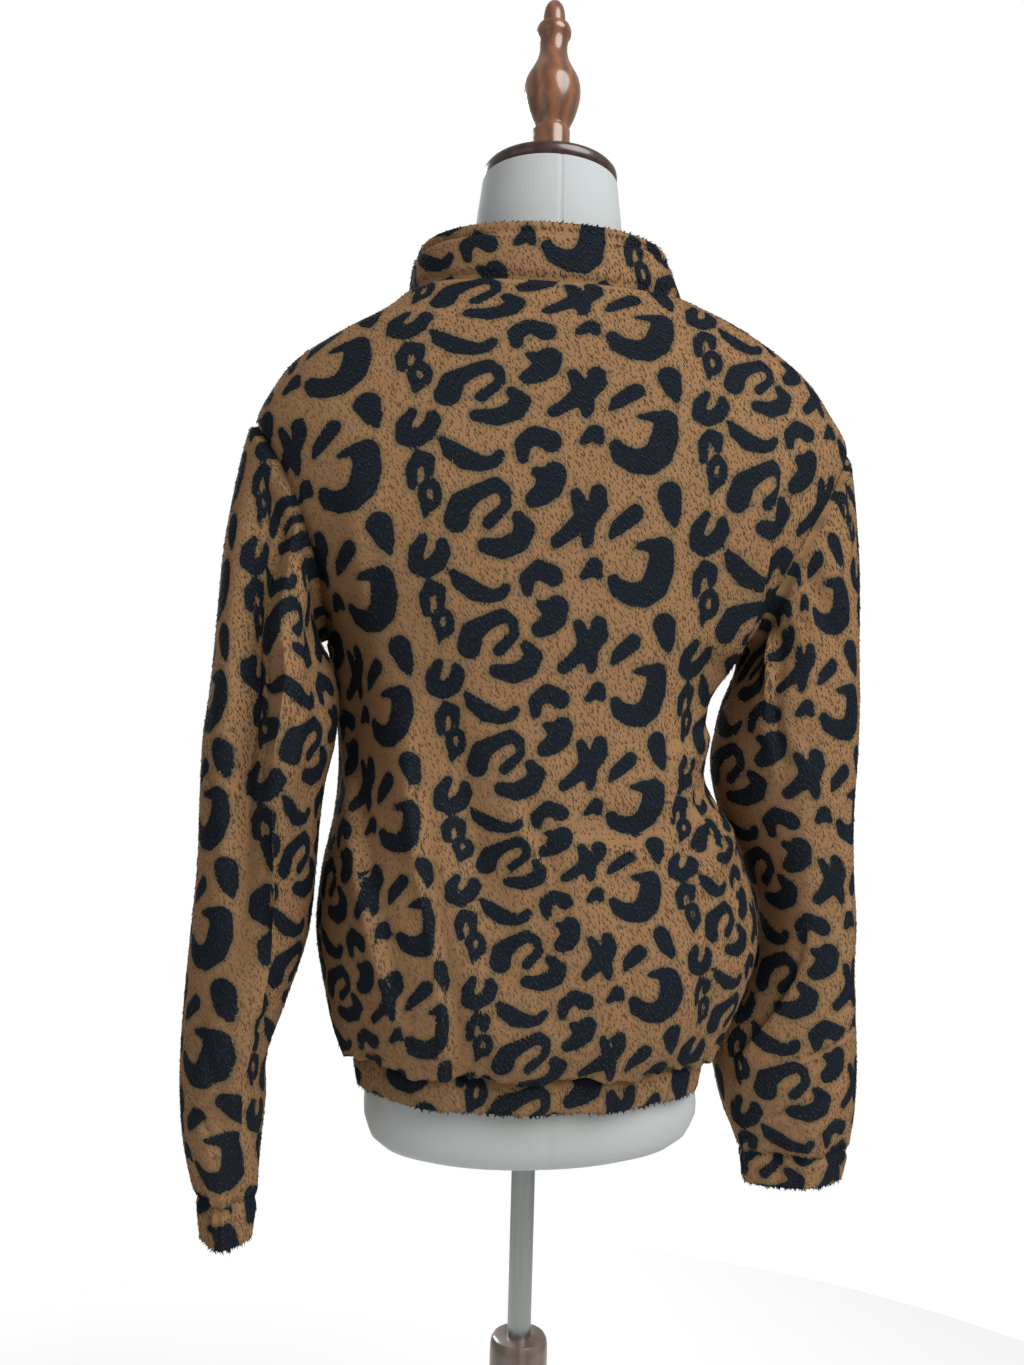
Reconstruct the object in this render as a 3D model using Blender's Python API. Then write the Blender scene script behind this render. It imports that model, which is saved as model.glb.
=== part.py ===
"""A teddy fleece jacket, zipped up, worn by a limbless dress form on a wooden stand.

Metres, +Z up. The floor is z = 0 and the stand's pole is the Z axis. The jacket's
front faces -Y, and the wearer's left is +X. The cloth is made of walls: each sewn
piece is a grid of points on the outside of the pile, thickened inwards, and pieces
that are sewn together share the points of their seam before a small gap parts them.
"""

import math

import bmesh
import bpy
import mathutils
import numpy as np

# Cloth walls
FLEECE = 0.004
FOLDED_FLEECE = 0.0075
ELASTIC_BAND = 0.005
SEAM_GAP = 0.0003

# Grid of the jacket: columns round it, rows up it
BACK_COLUMNS = 20
FRONT_COLUMNS = 10
ARMHOLE_STEPS = 10
BODY_STEPS_BELOW_ARM = 11
YOKE_STEPS = 5
COLLAR_STEPS = 3
HEM_STEPS = 2
SLEEVE_HEAD_STEPS = 7
SLEEVE_STEPS = 12
CUFF_STEPS = 2
ARC_SAMPLES = 80

# Heights that the jacket is hung from
HEM_BOTTOM = 0.636
HEM_SEAM = 0.660
UNDERARM = 0.978
ARMHOLE_TOP = 1.148
NECK_SEAM = 1.256
COLLAR_TOP = 1.290
ARMHOLE_HALF_DEPTH = 0.066
SLEEVE_HEAD_END = 0.900

# The jacket hangs a little askew: its right shoulder is higher than its left
SHOULDER_LEAN = -0.02

# Sections of the jacket, outside the pile: the half widths at the sides, and the
# depths and heights at the centre back and the centre front
LEVEL_COLUMNS = ("side_z", "left", "right", "back", "back_z", "front", "front_z", "square")
HEM_ROWS = (
    (0.636, 0.1360, 0.1415, 0.103, 0.634, 0.097, 0.636, 2.2),
    (0.648, 0.1370, 0.1430, 0.106, 0.647, 0.100, 0.648, 2.2),
    (0.660, 0.1375, 0.1435, 0.107, 0.660, 0.101, 0.660, 2.2),
)
BODY_ROWS = (
    (0.660, 0.1375, 0.1435, 0.107, 0.660, 0.101, 0.660, 2.2),
    (0.680, 0.151, 0.157, 0.122, 0.680, 0.112, 0.680, 2.2),
    (0.712, 0.162, 0.174, 0.131, 0.712, 0.120, 0.712, 2.3),
    (0.750, 0.170, 0.184, 0.133, 0.750, 0.123, 0.750, 2.3),
    (0.800, 0.168, 0.174, 0.128, 0.800, 0.122, 0.800, 2.3),
    (0.850, 0.159, 0.150, 0.121, 0.850, 0.119, 0.850, 2.3),
    (0.900, 0.158, 0.135, 0.116, 0.900, 0.119, 0.900, 2.3),
    (0.940, 0.163, 0.137, 0.115, 0.940, 0.124, 0.940, 2.3),
    (0.965, 0.166, 0.150, 0.115, 0.965, 0.129, 0.965, 2.4),
    (0.978, 0.169, 0.168, 0.115, 0.978, 0.131, 0.975, 2.4),
    (1.010, 0.183, 0.190, 0.115, 1.010, 0.133, 1.000, 2.5),
    (1.060, 0.205, 0.222, 0.115, 1.058, 0.131, 1.042, 2.6),
    (1.110, 0.220, 0.246, 0.111, 1.103, 0.123, 1.085, 2.6),
    (1.148, 0.226, 0.250, 0.106, 1.140, 0.116, 1.120, 2.5),
    (1.172, 0.215, 0.236, 0.103, 1.165, 0.113, 1.142, 2.4),
    (1.192, 0.201, 0.222, 0.099, 1.190, 0.110, 1.162, 2.35),
    (1.214, 0.171, 0.195, 0.095, 1.212, 0.106, 1.180, 2.3),
    (1.236, 0.135, 0.158, 0.091, 1.230, 0.102, 1.195, 2.2),
    (1.256, 0.113, 0.112, 0.087, 1.243, 0.098, 1.207, 2.1),
)
COLLAR_ROWS = (
    (1.256, 0.113, 0.112, 0.087, 1.243, 0.098, 1.207, 2.1),
    (1.264, 0.1115, 0.108, 0.087, 1.252, 0.097, 1.216, 2.1),
    (1.278, 0.1095, 0.102, 0.085, 1.269, 0.094, 1.234, 2.1),
    (1.290, 0.1050, 0.097, 0.081, 1.287, 0.090, 1.252, 2.1),
)

# Sections of the sleeves below their heads, as they hang
SLEEVE_COLUMNS = ("z", "centre_x", "half_width", "centre_y", "half_depth", "square")
LEFT_SLEEVE_ROWS = (
    (1.150, 0.200, 0.044, 0.000, 0.070, 2.2),
    (1.050, 0.212, 0.044, 0.000, 0.074, 2.2),
    (0.980, 0.2155, 0.0395, 0.010, 0.075, 2.2),
    (0.940, 0.2090, 0.0450, 0.026, 0.074, 2.2),
    (0.900, 0.2100, 0.0460, 0.032, 0.072, 2.2),
    (0.855, 0.2125, 0.0445, 0.032, 0.070, 2.2),
    (0.805, 0.2130, 0.0445, 0.032, 0.068, 2.2),
    (0.750, 0.2175, 0.0440, 0.032, 0.066, 2.2),
    (0.700, 0.2270, 0.0380, 0.028, 0.065, 2.2),
    (0.655, 0.2350, 0.0320, 0.022, 0.062, 2.2),
    (0.622, 0.2350, 0.0320, 0.013, 0.058, 2.2),
    (0.592, 0.2340, 0.0290, 0.014, 0.053, 2.1),
    (0.567, 0.2315, 0.0245, 0.015, 0.046, 2.1),
    (0.555, 0.2300, 0.0215, 0.015, 0.041, 2.1),
)
RIGHT_SLEEVE_ROWS = (
    (1.150, 0.215, 0.050, 0.000, 0.066, 2.2),
    (1.050, 0.220, 0.051, 0.000, 0.066, 2.2),
    (0.980, 0.2225, 0.0465, 0.000, 0.066, 2.2),
    (0.940, 0.2145, 0.0560, 0.000, 0.066, 2.2),
    (0.900, 0.2125, 0.0570, 0.000, 0.065, 2.2),
    (0.855, 0.2160, 0.0510, 0.000, 0.064, 2.2),
    (0.811, 0.2235, 0.0430, 0.000, 0.064, 2.2),
    (0.760, 0.2315, 0.0385, 0.000, 0.062, 2.2),
    (0.720, 0.2285, 0.0415, 0.000, 0.062, 2.2),
    (0.690, 0.2235, 0.0495, 0.001, 0.060, 2.2),
    (0.662, 0.2175, 0.0590, 0.001, 0.056, 2.2),
    (0.625, 0.2185, 0.0585, 0.002, 0.053, 2.2),
    (0.601, 0.2210, 0.0550, 0.003, 0.047, 2.1),
    (0.580, 0.2235, 0.0490, 0.004, 0.038, 2.1),
    (0.571, 0.2250, 0.0465, 0.004, 0.032, 2.1),
)
CUFF_DEPTHS = {"left": 0.031, "right": 0.024}
CUFF_TAPER = 0.93

# Folds of the body: from one end to the other across the back (+1) or front (-1),
# how far each side of its line it reaches, and how far it stands out or sinks in
FOLD_COLUMNS = ("face", "x0", "z0", "x1", "z1", "reach", "height")
BODY_FOLDS = (
    (1, 0.115, 0.930, 0.060, 0.700, 0.018, 0.008),
    (1, 0.085, 0.930, 0.030, 0.720, 0.016, -0.007),
    (1, 0.135, 0.850, 0.105, 0.700, 0.020, 0.007),
    (1, 0.010, 0.880, -0.030, 0.740, 0.020, 0.005),
    (1, -0.150, 0.930, -0.080, 0.870, 0.013, 0.006),
    (1, -0.155, 0.890, -0.085, 0.835, 0.013, -0.005),
    (1, -0.160, 0.850, -0.090, 0.790, 0.014, 0.007),
    (1, -0.110, 0.780, -0.075, 0.690, 0.018, 0.006),
    (1, -0.155, 1.120, -0.140, 0.960, 0.018, 0.006),
    (1, 0.150, 1.110, 0.130, 0.950, 0.016, 0.005),
    (-1, 0.130, 1.080, 0.060, 0.900, 0.020, 0.006),
    (-1, -0.140, 1.080, -0.065, 0.890, 0.020, 0.006),
    (-1, 0.120, 0.850, 0.065, 0.700, 0.020, 0.007),
    (-1, -0.125, 0.860, -0.070, 0.710, 0.020, 0.007),
    (-1, 0.060, 0.790, 0.045, 0.690, 0.014, -0.005),
    (-1, -0.055, 0.780, -0.045, 0.690, 0.014, -0.005),
)
GATHER_WAVES = 10
GATHER_HEIGHT = 0.0035
GATHER_RISE = 0.035

# Folds of the sleeves: degrees round the sleeve from its outer side, 90 at the back
SLEEVE_FOLD_COLUMNS = ("angle0", "z0", "angle1", "z1", "reach", "height")
LEFT_SLEEVE_FOLDS = (
    (62, 1.080, 88, 0.740, 0.016, -0.016),
    (110, 1.060, 118, 0.800, 0.018, 0.006),
    (95, 0.760, 70, 0.640, 0.016, 0.005),
    (250, 1.000, 285, 0.800, 0.020, -0.007),
    (80, 0.640, 120, 0.590, 0.014, -0.004),
)
RIGHT_SLEEVE_FOLDS = (
    (115, 1.080, 70, 0.960, 0.016, -0.007),
    (140, 1.010, 95, 0.870, 0.016, 0.006),
    (60, 0.850, 105, 0.760, 0.018, -0.005),
    (50, 0.700, 120, 0.640, 0.015, 0.005),
    (250, 1.000, 285, 0.820, 0.020, -0.007),
)
CUFF_WAVES = 5
CUFF_GATHER = 0.002

# Zip, in the gap between the two front edges
ZIP_HALF_GAP = 0.008
TAPE_INNER_EDGE = 0.0028
TAPE_RECESS = 0.0016
TAPE_THICKNESS = 0.0009
TEETH_HALF_WIDTH = 0.0025
TEETH_RECESS = 0.0006
TEETH_THICKNESS = 0.0026
ZIP_ROWS_PER_SECTION = {"hem": 3, "body": 18, "collar": 4}

# Slider and its pull tab
SLIDER_LEVEL = 1.276
SLIDER_WIDTH = 0.0095
SLIDER_LENGTH = 0.012
SLIDER_PLATE = 0.0018
LUG_THICKNESS = 0.0014
LUG_HALF_GAP = 0.0029
LUG_HEIGHT = 0.0048
LUG_LENGTH = 0.0036
PIN_RADIUS = 0.0007
PIN_OFFSET = 0.0030
TAB_HALF_WIDTH = 0.0025
TAB_LENGTH = 0.026
TAB_THICKNESS = 0.0016
EYE_RADIUS = 0.0018
EYE_HOLE_RADIUS = 0.0010

# Dress form
FORM_COLUMNS = ("z", "centre_x", "half_width", "back", "front", "square")
FORM_ROWS = (
    (0.5800, -0.003, 0.104, 0.064, 0.064, 2.1),
    (0.5860, -0.003, 0.119, 0.076, 0.076, 2.2),
    (0.6000, -0.0045, 0.1310, 0.084, 0.084, 2.2),
    (0.6230, -0.0045, 0.1335, 0.087, 0.086, 2.2),
    (0.6340, -0.0030, 0.1315, 0.088, 0.086, 2.2),
    (0.6700, -0.003, 0.1315, 0.088, 0.086, 2.2),
    (0.7400, -0.002, 0.1360, 0.094, 0.087, 2.2),
    (0.8200, -0.001, 0.1260, 0.087, 0.085, 2.2),
    (0.8900, 0.000, 0.1150, 0.079, 0.083, 2.1),
    (0.9500, 0.000, 0.1220, 0.081, 0.092, 2.1),
    (1.0100, 0.000, 0.1350, 0.086, 0.107, 2.2),
    (1.0600, 0.000, 0.1450, 0.088, 0.110, 2.3),
    (1.1000, 0.000, 0.1560, 0.086, 0.100, 2.4),
    (1.1350, 0.000, 0.1680, 0.081, 0.088, 2.4),
    (1.1705, 0.000, 0.1740, 0.075, 0.079, 2.4),
    (1.1948, 0.000, 0.1620, 0.069, 0.072, 2.3),
    (1.2148, 0.000, 0.1340, 0.064, 0.067, 2.2),
    (1.2338, 0.000, 0.1020, 0.060, 0.063, 2.1),
    (1.2498, 0.000, 0.0780, 0.0575, 0.060, 2.0),
    (1.2700, 0.000, 0.0640, 0.0560, 0.0575, 2.0),
    (1.3200, 0.000, 0.0585, 0.0555, 0.0560, 2.0),
    (1.3520, 0.000, 0.0545, 0.0530, 0.0530, 2.0),
)
FORM_SEGMENTS = 28
SOCKET_DEPTH = 0.060

# Turned wood and steel: radius and height, from the top down
FACE_GAP = 0.0003
POLE_RADIUS = 0.0095
POLE_BOTTOM = 0.330
TURNED_SEGMENTS = 20
CAP_PROFILE = (
    (0.000, 1.3645), (0.0440, 1.3640), (0.0515, 1.3625), (0.0540, 1.3590),
    (0.0540, 1.3555), (0.0520, 1.3523), (0.000, 1.3523),
)
FINIAL_PROFILE = (
    (0.0000, 1.5020), (0.0045, 1.5005), (0.0080, 1.4940), (0.0088, 1.4860),
    (0.0095, 1.4830), (0.0138, 1.4790), (0.0138, 1.4740), (0.0118, 1.4690),
    (0.0110, 1.4620), (0.0130, 1.4530), (0.0172, 1.4450), (0.0215, 1.4370),
    (0.0227, 1.4290), (0.0216, 1.4190), (0.0185, 1.4090), (0.0140, 1.3995),
    (0.0145, 1.3970), (0.0150, 1.3648), (0.0000, 1.3648),
)
COLUMN_PROFILE = (
    (0.0185, 0.4240), (0.0222, 0.4210), (0.0232, 0.4120), (0.0232, 0.3920),
    (0.0215, 0.3840), (0.0185, 0.3800), (0.0200, 0.3700), (0.0270, 0.3300),
    (0.0310, 0.2800), (0.0300, 0.2400), (0.0235, 0.2000), (0.0220, 0.1880),
    (0.0310, 0.1800), (0.0350, 0.1700), (0.0350, 0.0850), (0.0310, 0.0760),
    (0.0000, 0.0760),
)

# Legs: four alike, each an outline in the plane of its own radius
LEG_WIDTH = 0.024
LEG_REACH = 0.300
LEG_OUTLINE = (
    (0.0353, 0.160), (0.080, 0.158), (0.130, 0.140), (0.180, 0.104), (0.230, 0.062),
    (0.270, 0.035), (LEG_REACH, 0.022), (LEG_REACH, 0.000), (0.256, 0.000),
    (0.210, 0.036), (0.160, 0.075), (0.110, 0.103), (0.070, 0.115), (0.0353, 0.114),
)
LEG_BEVEL = 0.003
LEG_NAMES = ("leg_left", "leg_back", "leg_right", "leg_front")

# Colours, roughness and metal of each finish
FINISHES = {
    "teddy_fleece": ((0.36, 0.19, 0.08), 0.95, 0.0),
    "zip_tape": ((0.02, 0.02, 0.025), 0.80, 0.0),
    "zip_metal": ((0.30, 0.29, 0.27), 0.35, 1.0),
    "form_cotton": ((0.80, 0.80, 0.79), 0.85, 0.0),
    "dark_wood": ((0.045, 0.016, 0.012), 0.35, 0.0),
    "varnished_wood": ((0.30, 0.12, 0.045), 0.30, 0.0),
    "stand_wood": ((0.14, 0.09, 0.07), 0.50, 0.0),
    "pole_steel": ((0.42, 0.45, 0.42), 0.38, 1.0),
}


# Small helpers


def interpolate(table, columns, level):
    """One row of a table, read between its rows by a smooth curve through them."""
    rows = np.array(table)
    order = np.argsort(rows[:, 0])
    rows = rows[order]
    levels = rows[:, 0]
    level = min(max(level, levels[0]), levels[-1])
    slopes = np.gradient(rows, levels, axis=0)
    low = int(np.clip(np.searchsorted(levels, level) - 1, 0, len(levels) - 2))
    span = levels[low + 1] - levels[low]
    t = (level - levels[low]) / span
    value = (
        (2 * t**3 - 3 * t**2 + 1) * rows[low]
        + (t**3 - 2 * t**2 + t) * span * slopes[low]
        + (3 * t**2 - 2 * t**3) * rows[low + 1]
        + (t**3 - t**2) * span * slopes[low + 1]
    )
    return dict(zip(columns, value))


def section_point(row, angle):
    """A point of one level of the jacket; 0 is the left side and 90 degrees the back."""
    cos, sin = math.cos(angle), math.sin(angle)
    power = 2.0 / row["square"]
    half = row["left"] if cos >= 0 else row["right"]
    depth, depth_z = (row["back"], row["back_z"]) if sin >= 0 else (row["front"], row["front_z"])
    x = math.copysign(half * abs(cos) ** power, cos)
    y = math.copysign(depth * abs(sin) ** power, sin)
    z = row["side_z"] * cos * cos + depth_z * sin * sin
    lean = SHOULDER_LEAN * np.clip((z - HEM_SEAM) / (ARMHOLE_TOP - HEM_SEAM), 0.0, 1.0)
    return np.array((x, y, z + lean * x))


def section_arc(row, start, end, steps):
    """Points evenly spaced along a level between two angles."""
    dense = np.array([section_point(row, a) for a in np.linspace(start, end, ARC_SAMPLES)])
    lengths = np.concatenate(([0.0], np.cumsum(np.linalg.norm(np.diff(dense, axis=0), axis=1))))
    wanted = np.linspace(0.0, lengths[-1], steps + 1)
    return np.stack([np.interp(wanted, lengths, dense[:, axis]) for axis in range(3)], axis=1)


def armhole_angle(row, level, depth_key):
    """How far round from the side seam the armhole's edge lies at a level."""
    share = (level - UNDERARM) / (ARMHOLE_TOP - UNDERARM)
    if share <= 0.0 or share >= 1.0:
        return 0.0
    depth = ARMHOLE_HALF_DEPTH * math.sqrt(max(0.0, 1.0 - (2.0 * share - 1.0) ** 2))
    return math.asin((depth / row[depth_key]) ** (row["square"] / 2.0))


def front_edge_angle(row, side):
    """The angle at which a level meets the zip's gap on the left or right."""
    half = row["left"] if side > 0 else row["right"]
    turn = math.acos((ZIP_HALF_GAP / half) ** (row["square"] / 2.0))
    return -turn if side > 0 else math.pi + turn


def body_levels():
    """Heights of the body's rows, those at the armhole as the sleeve's points need them."""
    below = np.linspace(HEM_SEAM, UNDERARM, BODY_STEPS_BELOW_ARM + 1)[:-1]
    turn = np.arange(ARMHOLE_STEPS) * math.pi / ARMHOLE_STEPS
    at_arm = UNDERARM + (ARMHOLE_TOP - UNDERARM) * (1.0 - np.cos(turn)) / 2.0
    yoke = np.linspace(ARMHOLE_TOP, NECK_SEAM, YOKE_STEPS + 1)
    return np.concatenate((below, at_arm, yoke))


# Grids of the sewn pieces, rows from the bottom up


def back_rows(table, levels):
    rows = []
    for level in levels:
        row = interpolate(table, LEVEL_COLUMNS, level)
        edge = armhole_angle(row, level, "back")
        rows.append(section_arc(row, edge, math.pi - edge, BACK_COLUMNS))
    return np.array(rows)


def front_rows(table, levels, side):
    """A front from its side seam to the zip, or for the right one from the zip."""
    rows = []
    for level in levels:
        row = interpolate(table, LEVEL_COLUMNS, level)
        edge = armhole_angle(row, level, "front")
        start = -edge if side > 0 else math.pi + edge
        rows.append(section_arc(row, start, front_edge_angle(row, side), FRONT_COLUMNS))
    return np.array(rows)


def strip_rows(table, levels):
    """A strip all round from the zip over the left side, the back and the right side."""
    left = front_rows(table, levels, 1)[:, ::-1]
    right = front_rows(table, levels, -1)
    return np.concatenate((left, back_rows(table, levels)[:, 1:], right[:, 1:]), axis=1)


def armhole_loop(back, front, side):
    """The armhole's points from the shoulder down the back and up the front."""
    first = BODY_STEPS_BELOW_ARM
    last = BODY_STEPS_BELOW_ARM + ARMHOLE_STEPS
    column = 0 if side > 0 else -1
    down_back = back[first:last + 1, column][::-1]
    up_front = front[first:last + 1, 0]
    return np.concatenate((down_back, up_front[1:-1]))


def sleeve_section(table, z, angle, side):
    row = interpolate(table, SLEEVE_COLUMNS, z)
    power = 2.0 / row["square"]
    cos, sin = math.cos(angle), math.sin(angle)
    x = row["centre_x"] + math.copysign(row["half_width"] * abs(cos) ** power, cos)
    y = row["centre_y"] + math.copysign(row["half_depth"] * abs(sin) ** power, sin)
    return np.array((side * x, y, z))


def sleeve_rows(table, loop, side):
    """A sleeve from its armhole down, its head fanning out to level rings."""
    count = len(loop)
    angles = np.arange(count) * 2.0 * math.pi / count
    rows = []
    for step in range(SLEEVE_HEAD_STEPS + 1):
        share = step / SLEEVE_HEAD_STEPS
        ring = []
        for start, angle in zip(loop, angles):
            z = start[2] + (SLEEVE_HEAD_END - start[2]) * share
            target = sleeve_section(table, z, angle, side)
            ring.append(start + (target - start) * np.array((share**0.35, share**0.35, 1.0)))
            ring[-1][2] = z
        rows.append(ring)
    bottom = min(row[0] for row in table)
    for z in np.linspace(SLEEVE_HEAD_END, bottom, SLEEVE_STEPS + 1)[1:]:
        rows.append([sleeve_section(table, z, angle, side) for angle in angles])
    return np.array(rows)


def cuff_rows(sleeve, depth):
    """The elastic casing below a sleeve, drawn in a little towards its end."""
    top = sleeve[-1]
    centre = top.mean(axis=0)
    rows = []
    for share in np.linspace(0.0, 1.0, CUFF_STEPS + 1):
        ring = centre + (top - centre) * (1.0 - (1.0 - CUFF_TAPER) * share)
        ring[:, 2] = top[:, 2] - depth * share
        rows.append(ring)
    return np.array(rows)


# Folds and gathers, as heights along the cloth's own normals


def distance_to_line(a, b, ends):
    """How far points lie from a straight fold, and how far along it, 0 to 1."""
    a0, b0, a1, b1 = ends
    run = np.array((a1 - a0, b1 - b0))
    along = ((a - a0) * run[0] + (b - b0) * run[1]) / (run @ run)
    held = np.clip(along, 0.0, 1.0)
    return np.hypot(a - a0 - held * run[0], b - b0 - held * run[1]), held


def fold_height(distance, along, reach, height):
    taper = np.sin(math.pi * (0.12 + 0.76 * along))
    return height * taper * np.exp(-((distance / reach) ** 2))


def body_fold_heights(points):
    x, y, z = points[..., 0], points[..., 1], points[..., 2]
    total = np.zeros(x.shape)
    for values in BODY_FOLDS:
        fold = dict(zip(FOLD_COLUMNS, values))
        ends = (fold["x0"], fold["z0"], fold["x1"], fold["z1"])
        distance, along = distance_to_line(x, z, ends)
        facing = np.clip(fold["face"] * y / 0.04, 0.0, 1.0)
        total += facing * fold_height(distance, along, fold["reach"], fold["height"])
    turn = np.arctan2(y, x)
    gathers = np.sin(GATHER_WAVES * turn) * np.exp(-np.abs(z - HEM_SEAM) / GATHER_RISE)
    calm_zip = np.clip(1.0 - np.exp(-((x / 0.03) ** 2)) + (y > 0.0), 0.0, 1.0)
    return (total + GATHER_HEIGHT * gathers) * calm_zip


def sleeve_fold_heights(grid, folds, table):
    """Heights on a sleeve's grid; none at the armhole, whose points the body shares."""
    rows, count = grid.shape[:2]
    total = np.zeros((rows, count))
    half_depth = np.array([interpolate(table, SLEEVE_COLUMNS, z)["half_depth"] for z in grid[:, 0, 2]])
    degrees = np.arange(count) * 360.0 / count
    for values in folds:
        fold = dict(zip(SLEEVE_FOLD_COLUMNS, values))
        round_scale = math.radians(1.0) * half_depth[:, None]
        across = degrees[None, :] * round_scale
        ends = (fold["angle0"], fold["z0"], fold["angle1"], fold["z1"])
        scaled = (ends[0] * round_scale, ends[1], ends[2] * round_scale, ends[3])
        share = np.clip((grid[..., 2] - ends[1]) / (ends[3] - ends[1]), 0.0, 1.0)
        line = scaled[0] + (scaled[2] - scaled[0]) * share
        beyond = np.abs(grid[..., 2] - (ends[1] + (ends[3] - ends[1]) * share))
        distance = np.hypot(across - line, beyond)
        total += fold_height(distance, share, fold["reach"], fold["height"])
    turn = np.radians(degrees)[None, :]
    low = grid[-1, :, 2].mean()
    gathers = CUFF_GATHER * np.sin(CUFF_WAVES * turn + 0.6) * np.exp(-(grid[..., 2] - low) / GATHER_RISE)
    quiet = np.clip(np.arange(rows) / 2.0, 0.0, 1.0)[:, None]
    return (total + gathers) * quiet


# Walls from grids


def grid_normals(grid, closed):
    """Outward normals of a grid whose rows go up it and whose columns go round it."""
    if closed:
        across = np.roll(grid, -1, axis=1) - np.roll(grid, 1, axis=1)
    else:
        across = np.gradient(grid, axis=1)
    upwards = np.gradient(grid, axis=0)
    return np.cross(across, upwards)


def share_normals(pieces):
    """Give points that seams share one normal, so that the walls meet face to face."""
    totals = {}
    for piece in pieces:
        normals = grid_normals(piece["grid"], piece["closed"]) * piece["turn"]
        lengths = np.linalg.norm(normals, axis=2, keepdims=True)
        piece["normals"] = normals / np.maximum(lengths, 1e-12)
        for point, normal in zip(piece["grid"].reshape(-1, 3), piece["normals"].reshape(-1, 3)):
            key = tuple(np.round(point, 6))
            totals[key] = totals.get(key, np.zeros(3)) + normal
    for piece in pieces:
        flat = piece["normals"].reshape(-1, 3)
        for index, point in enumerate(piece["grid"].reshape(-1, 3)):
            total = totals[tuple(np.round(point, 6))]
            flat[index] = total / np.linalg.norm(total)


def inwards_from(border, inner, normals, closed):
    """Directions from a border into its piece, along the cloth and square to the seam."""
    if closed:
        along = np.roll(border, -1, axis=0) - np.roll(border, 1, axis=0)
    else:
        along = np.gradient(border, axis=0)
    inwards = np.cross(along, normals)
    inwards /= np.linalg.norm(inwards, axis=1, keepdims=True)
    return inwards * np.sign(np.sum(inwards * (inner - border)))


def part_seams(grid, normals, closed):
    """Draw a grid's borders in by half the seam's gap."""
    moved = grid.copy()
    for edge, inner in ((0, 1), (-1, -2)):
        moved[edge] += inwards_from(grid[edge], grid[inner], normals[edge], closed) * SEAM_GAP / 2
    if not closed:
        for edge, inner in ((0, 1), (-1, -2)):
            inwards = inwards_from(grid[:, edge], grid[:, inner], normals[:, edge], closed)
            moved[:, edge] += inwards * SEAM_GAP / 2
    return moved


def rim_faces(bm, first, second, first_inside, second_inside):
    """Two triangles across a wall's edge, split alike on both sides of a seam."""
    slant = mathutils.Vector((0.31, 0.53, 0.79))
    if first.co.dot(slant) > second.co.dot(slant):
        first, second = second, first
        first_inside, second_inside = second_inside, first_inside
    bm.faces.new((first, second, second_inside))
    bm.faces.new((first, second_inside, first_inside))


def wall_mesh(name, outer, inner, closed, folded_row, finish):
    """A closed wall between two grids; a folded row's edge is rounded over."""
    bm = bmesh.new()
    rows, columns = outer.shape[:2]
    outside = [[bm.verts.new(p) for p in row] for row in outer]
    inside = [[bm.verts.new(p) for p in row] for row in inner]
    spans = columns if closed else columns - 1
    for r in range(rows - 1):
        for c in range(spans):
            n = (c + 1) % columns
            bm.faces.new((outside[r][c], outside[r][n], outside[r + 1][n], outside[r + 1][c]))
            bm.faces.new((inside[r][n], inside[r][c], inside[r + 1][c], inside[r + 1][n]))
    for r, beyond in ((0, 1), (rows - 1, rows - 2)):
        crown = None
        if r == folded_row:
            middle = (outer[r] + inner[r]) / 2
            away = middle - (outer[beyond] + inner[beyond]) / 2
            away /= np.linalg.norm(away, axis=1, keepdims=True)
            thickness = np.linalg.norm(outer[r] - inner[r], axis=1, keepdims=True)
            crown = [bm.verts.new(p) for p in middle + away * thickness * 0.35]
        for c in range(spans):
            n = (c + 1) % columns
            if crown:
                bm.faces.new((outside[r][n], outside[r][c], crown[c], crown[n]))
                bm.faces.new((crown[n], crown[c], inside[r][c], inside[r][n]))
            else:
                rim_faces(bm, outside[r][c], outside[r][n], inside[r][c], inside[r][n])
        if crown and not closed:
            for c in (0, columns - 1):
                bm.faces.new((outside[r][c], inside[r][c], crown[c]))
    if not closed:
        for c in (0, columns - 1):
            for r in range(rows - 1):
                rim_faces(bm, outside[r][c], outside[r + 1][c], inside[r][c], inside[r + 1][c])
    return finish_mesh(name, bm, finish)


def finish_mesh(name, bm, finish, smooth=True, turn_outwards=True):
    """An object from a closed bmesh, its faces turned outwards."""
    if turn_outwards:
        bmesh.ops.recalc_face_normals(bm, faces=bm.faces)
        if bm.calc_volume(signed=True) < 0.0:
            bmesh.ops.reverse_faces(bm, faces=bm.faces)
    mesh = bpy.data.meshes.new(name)
    bm.to_mesh(mesh)
    bm.free()
    mesh.materials.append(finish_material(finish))
    if smooth:
        mesh.shade_smooth()
        mesh.set_sharp_from_angle(angle=math.radians(50))
    part = bpy.data.objects.new(name, mesh)
    bpy.context.scene.collection.objects.link(part)
    return part


def finish_material(finish):
    material = bpy.data.materials.get(finish)
    if material is None:
        colour, roughness, metallic = FINISHES[finish]
        material = bpy.data.materials.new(finish)
        material.use_nodes = True
        shader = material.node_tree.nodes["Principled BSDF"]
        shader.inputs["Base Color"].default_value = (*colour, 1.0)
        shader.inputs["Roughness"].default_value = roughness
        shader.inputs["Metallic"].default_value = metallic
        material.diffuse_color = (*colour, 1.0)
    return material


# The jacket


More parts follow.
